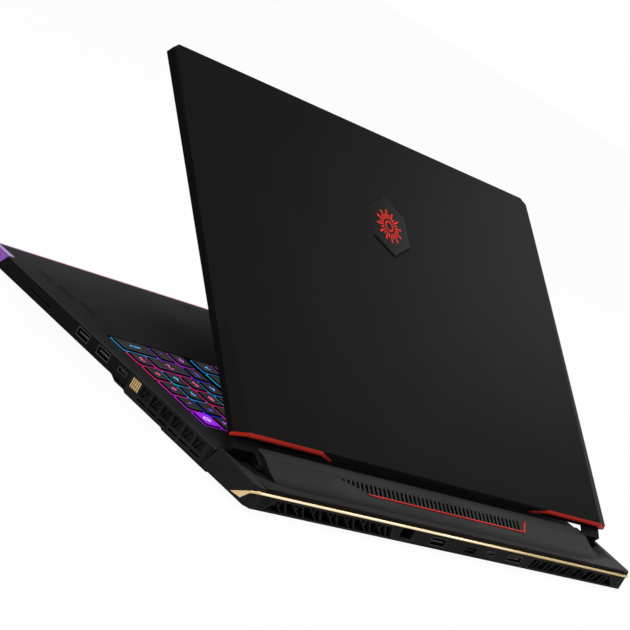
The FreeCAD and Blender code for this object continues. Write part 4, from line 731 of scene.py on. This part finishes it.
# Lid
# A thin pressed cover in black anodised aluminium, with a ribbed plastic band let into its lower edge.
# A gloss plate is bonded to the middle of its upper half.
lid_metal = opaque_finish("lid_metal", (0.0042, 0.0042, 0.0043), (0.005, 0.005, 0.0051), (0.28, 0.34),
                          grain=6400.0, relief=0.03, specular=0.007)
band_plastic = opaque_finish("band_plastic", (0.011, 0.011, 0.011), (0.015, 0.015, 0.015), (0.35, 0.45))
plate_gloss = opaque_finish("plate_gloss", (0.003, 0.003, 0.0032), (0.005, 0.005, 0.0052), (0.1, 0.16),
                            grain=900.0, relief=0.01, specular=0.012)
dress(lid_metal, "lid_cover")
dress(band_plastic, "ribbed_band")
dress(plate_gloss, "lid_plate")

# Lid emblem
# A plain sunburst: long and short rays round a broken ring, in the red of the trim.
# It is cut from thin sheet and bonded to the gloss plate.
RAY_COUNT = 12
RAY_TURN = math.radians(7.0)
RAY_FROM = 0.005625
LONG_RAY_TO = 0.0125
SHORT_RAY_TO = 0.009375
ARC_TURN = math.radians(21.0)
ARC_FROM = 0.00275
ARC_TO = 0.00425
SUN_THICK = 0.00008


def sunburst():
    """Flat wedges between two angles and two radii: a long ray, a short ray and a ring arc for each twelfth
    of a turn, on the outer face of the lid plate. The lid's own axes come from its angle at rest."""
    hinge = next(joint for joint in frame["joints"] if joint["name"] == "lid_hinge")
    tilt = -math.radians(hinge["range_deg"][0])
    across = np.array([1.0, 0.0, 0.0])
    along = np.array([0.0, -math.cos(tilt), math.sin(tilt)])
    out = np.array([0.0, math.sin(tilt), math.cos(tilt)])
    plate = np.empty(len(nodes["lid_plate"].data.vertices) * 3)
    nodes["lid_plate"].data.vertices.foreach_get("co", plate)
    plate = plate.reshape(-1, 3)
    centre = (plate.min(0) + plate.max(0)) / 2
    centre = centre + out * ((plate @ out).max() - centre @ out)
    step = np.arange(RAY_COUNT) * math.tau / RAY_COUNT
    kinds = ((0.0, RAY_TURN, RAY_FROM, LONG_RAY_TO), (math.pi / RAY_COUNT, RAY_TURN, RAY_FROM, SHORT_RAY_TO),
             (0.0, ARC_TURN, ARC_FROM, ARC_TO))
    wedges = np.concatenate([np.column_stack([step + shift - turn / 2, step + shift + turn / 2,
                                              np.full(RAY_COUNT, near), np.full(RAY_COUNT, far)])
                             for shift, turn, near, far in kinds])
    angle = wedges[:, [0, 1, 1, 0]][..., None]
    reach = wedges[:, [2, 2, 3, 3]][..., None]
    flat = centre + reach * (np.cos(angle) * across + np.sin(angle) * along)
    points = np.concatenate([flat - out * SUN_THICK, flat + out * SUN_THICK], axis=1).reshape(-1, 3)
    return points, box_faces(len(wedges)).tolist()


emblem_red = opaque_finish("emblem_red", (0.64, 0.02, 0.014), (0.74, 0.03, 0.02), (0.3, 0.4),
                           grain=2400.0, relief=0.02, specular=0.01)
points, faces = sunburst()
mesh_piece("lid_emblem", points, faces, emblem_red, "lid")

# Screen
# A dark glass panel clipped into a black plastic frame, with a small camera above it.
# The frame is grained, and the glass is left glossy.
bezel_plastic = opaque_finish("bezel_plastic", (0.009, 0.009, 0.0095), (0.014, 0.014, 0.0145), (0.5, 0.62),
                              grain=3800.0, relief=0.1)
screen_glass = opaque_finish("screen_glass", (0.004, 0.004, 0.005), (0.005, 0.005, 0.006), (0.06, 0.1),
                             grain=60.0, relief=0.0, specular=0.1)
dress(bezel_plastic, "screen_bezel")
dress(screen_glass, "display_panel", "camera_module")

# Studio
# A pale floor, a white surround and soft lamps.
# The camera stands behind the right rear corner and is rolled, as in the photograph.
FLOOR_REACH = 6.0
FLOOR_GREY = (0.7, 0.7, 0.7)
FLOOR_ROUGH = 0.9
FLOOR_WHITE_SHARE = 0.96
WHITE = (1.0, 1.0, 1.0, 1.0)
SURROUND_LEVEL = 0.35
CAMERA_PLACE = (0.9959, 0.8432, 0.3076)
CAMERA_RIGHT = (-0.6451, 0.5873, 0.4888)
CAMERA_LOOK = (-0.7331, -0.6561, -0.1793)
CAMERA_LENS = 116.277
CAMERA_SENSOR = 36.0


def show_white(tree, plain, white, share):
    """Mixes a white shader into a plain one for camera, glossy and transmission rays only."""
    path = tree.nodes.new("ShaderNodeLightPath")
    seen = path.outputs["Is Camera Ray"]
    for ray in ("Is Glossy Ray", "Is Transmission Ray"):
        larger = tree.nodes.new("ShaderNodeMath")
        larger.operation = "MAXIMUM"
        tree.links.new(seen, larger.inputs[0])
        tree.links.new(path.outputs[ray], larger.inputs[1])
        seen = larger.outputs["Value"]
    part = tree.nodes.new("ShaderNodeMath")
    part.operation = "MULTIPLY"
    part.inputs[1].default_value = share
    tree.links.new(seen, part.inputs[0])
    blend = tree.nodes.new("ShaderNodeMixShader")
    tree.links.new(part.outputs["Value"], blend.inputs[0])
    tree.links.new(plain, blend.inputs[1])
    tree.links.new(white, blend.inputs[2])
    return blend.outputs["Shader"]


floor_mesh = bpy.data.meshes.new("floor")
floor_corners = [(x * FLOOR_REACH, y * FLOOR_REACH, 0.0) for x, y in ((-1, -1), (1, -1), (1, 1), (-1, 1))]
floor_mesh.from_pydata(floor_corners, [], [(0, 1, 2, 3)])
floor = bpy.data.objects.new("floor", floor_mesh)
bpy.context.scene.collection.objects.link(floor)
floor_paint = bpy.data.materials.new("floor_paint")
floor_paint.use_nodes = True
tree = floor_paint.node_tree
pale = tree.nodes["Principled BSDF"]
pale.inputs["Base Color"].default_value = (*FLOOR_GREY, 1.0)
pale.inputs["Roughness"].default_value = FLOOR_ROUGH
white = tree.nodes.new("ShaderNodeEmission")
shown = show_white(tree, pale.outputs["BSDF"], white.outputs["Emission"], FLOOR_WHITE_SHARE)
tree.links.new(shown, tree.nodes["Material Output"].inputs["Surface"])
floor_mesh.materials.append(floor_paint)

world = bpy.data.worlds.new("surround")
bpy.context.scene.world = world
world.use_nodes = True
tree = world.node_tree
soft = tree.nodes["Background"]
soft.inputs["Color"].default_value = WHITE
soft.inputs["Strength"].default_value = SURROUND_LEVEL
bright = tree.nodes.new("ShaderNodeBackground")
bright.inputs["Color"].default_value = WHITE
shown = show_white(tree, soft.outputs["Background"], bright.outputs["Background"], 1.0)
tree.links.new(shown, tree.nodes["World Output"].inputs["Surface"])


def lamp(name, place, aim, size, power):
    """Square soft box at a place, turned to an aim point."""
    light = bpy.data.lights.new(name, "AREA")
    light.size = size
    light.energy = power
    holder = bpy.data.objects.new(name, light)
    bpy.context.scene.collection.objects.link(holder)
    holder.location = place
    holder.rotation_euler = (Vector(aim) - Vector(place)).to_track_quat("-Z", "Y").to_euler()


lamp("top_box", place=(-0.2, 0.22, 1.6), aim=(0.0, 0.08, 0.05), size=1.0, power=17.0)
lamp("side_box", place=(0.9, 0.1, 1.2), aim=(0.15, 0.0, 0.02), size=0.7, power=7.0)
lamp("far_box", place=(-2.0, -0.2, 1.5), aim=(-0.1, 0.05, 0.1), size=0.6, power=6.0)
lamp("rear_box", place=(-1.1, 0.95, 0.55), aim=(0.0, 0.14, 0.01), size=0.4, power=2.5)

right = Vector(CAMERA_RIGHT).normalized()
look = Vector(CAMERA_LOOK).normalized()
up = right.cross(look).normalized()
lens = bpy.data.cameras.new("camera")
lens.lens = CAMERA_LENS
lens.sensor_width = CAMERA_SENSOR
camera = bpy.data.objects.new("camera", lens)
bpy.context.scene.collection.objects.link(camera)
camera.matrix_world = Matrix.Translation(CAMERA_PLACE) @ Matrix((right, up, -look)).transposed().to_4x4()
bpy.context.scene.camera = camera
bpy.context.scene.view_settings.view_transform = "Standard"
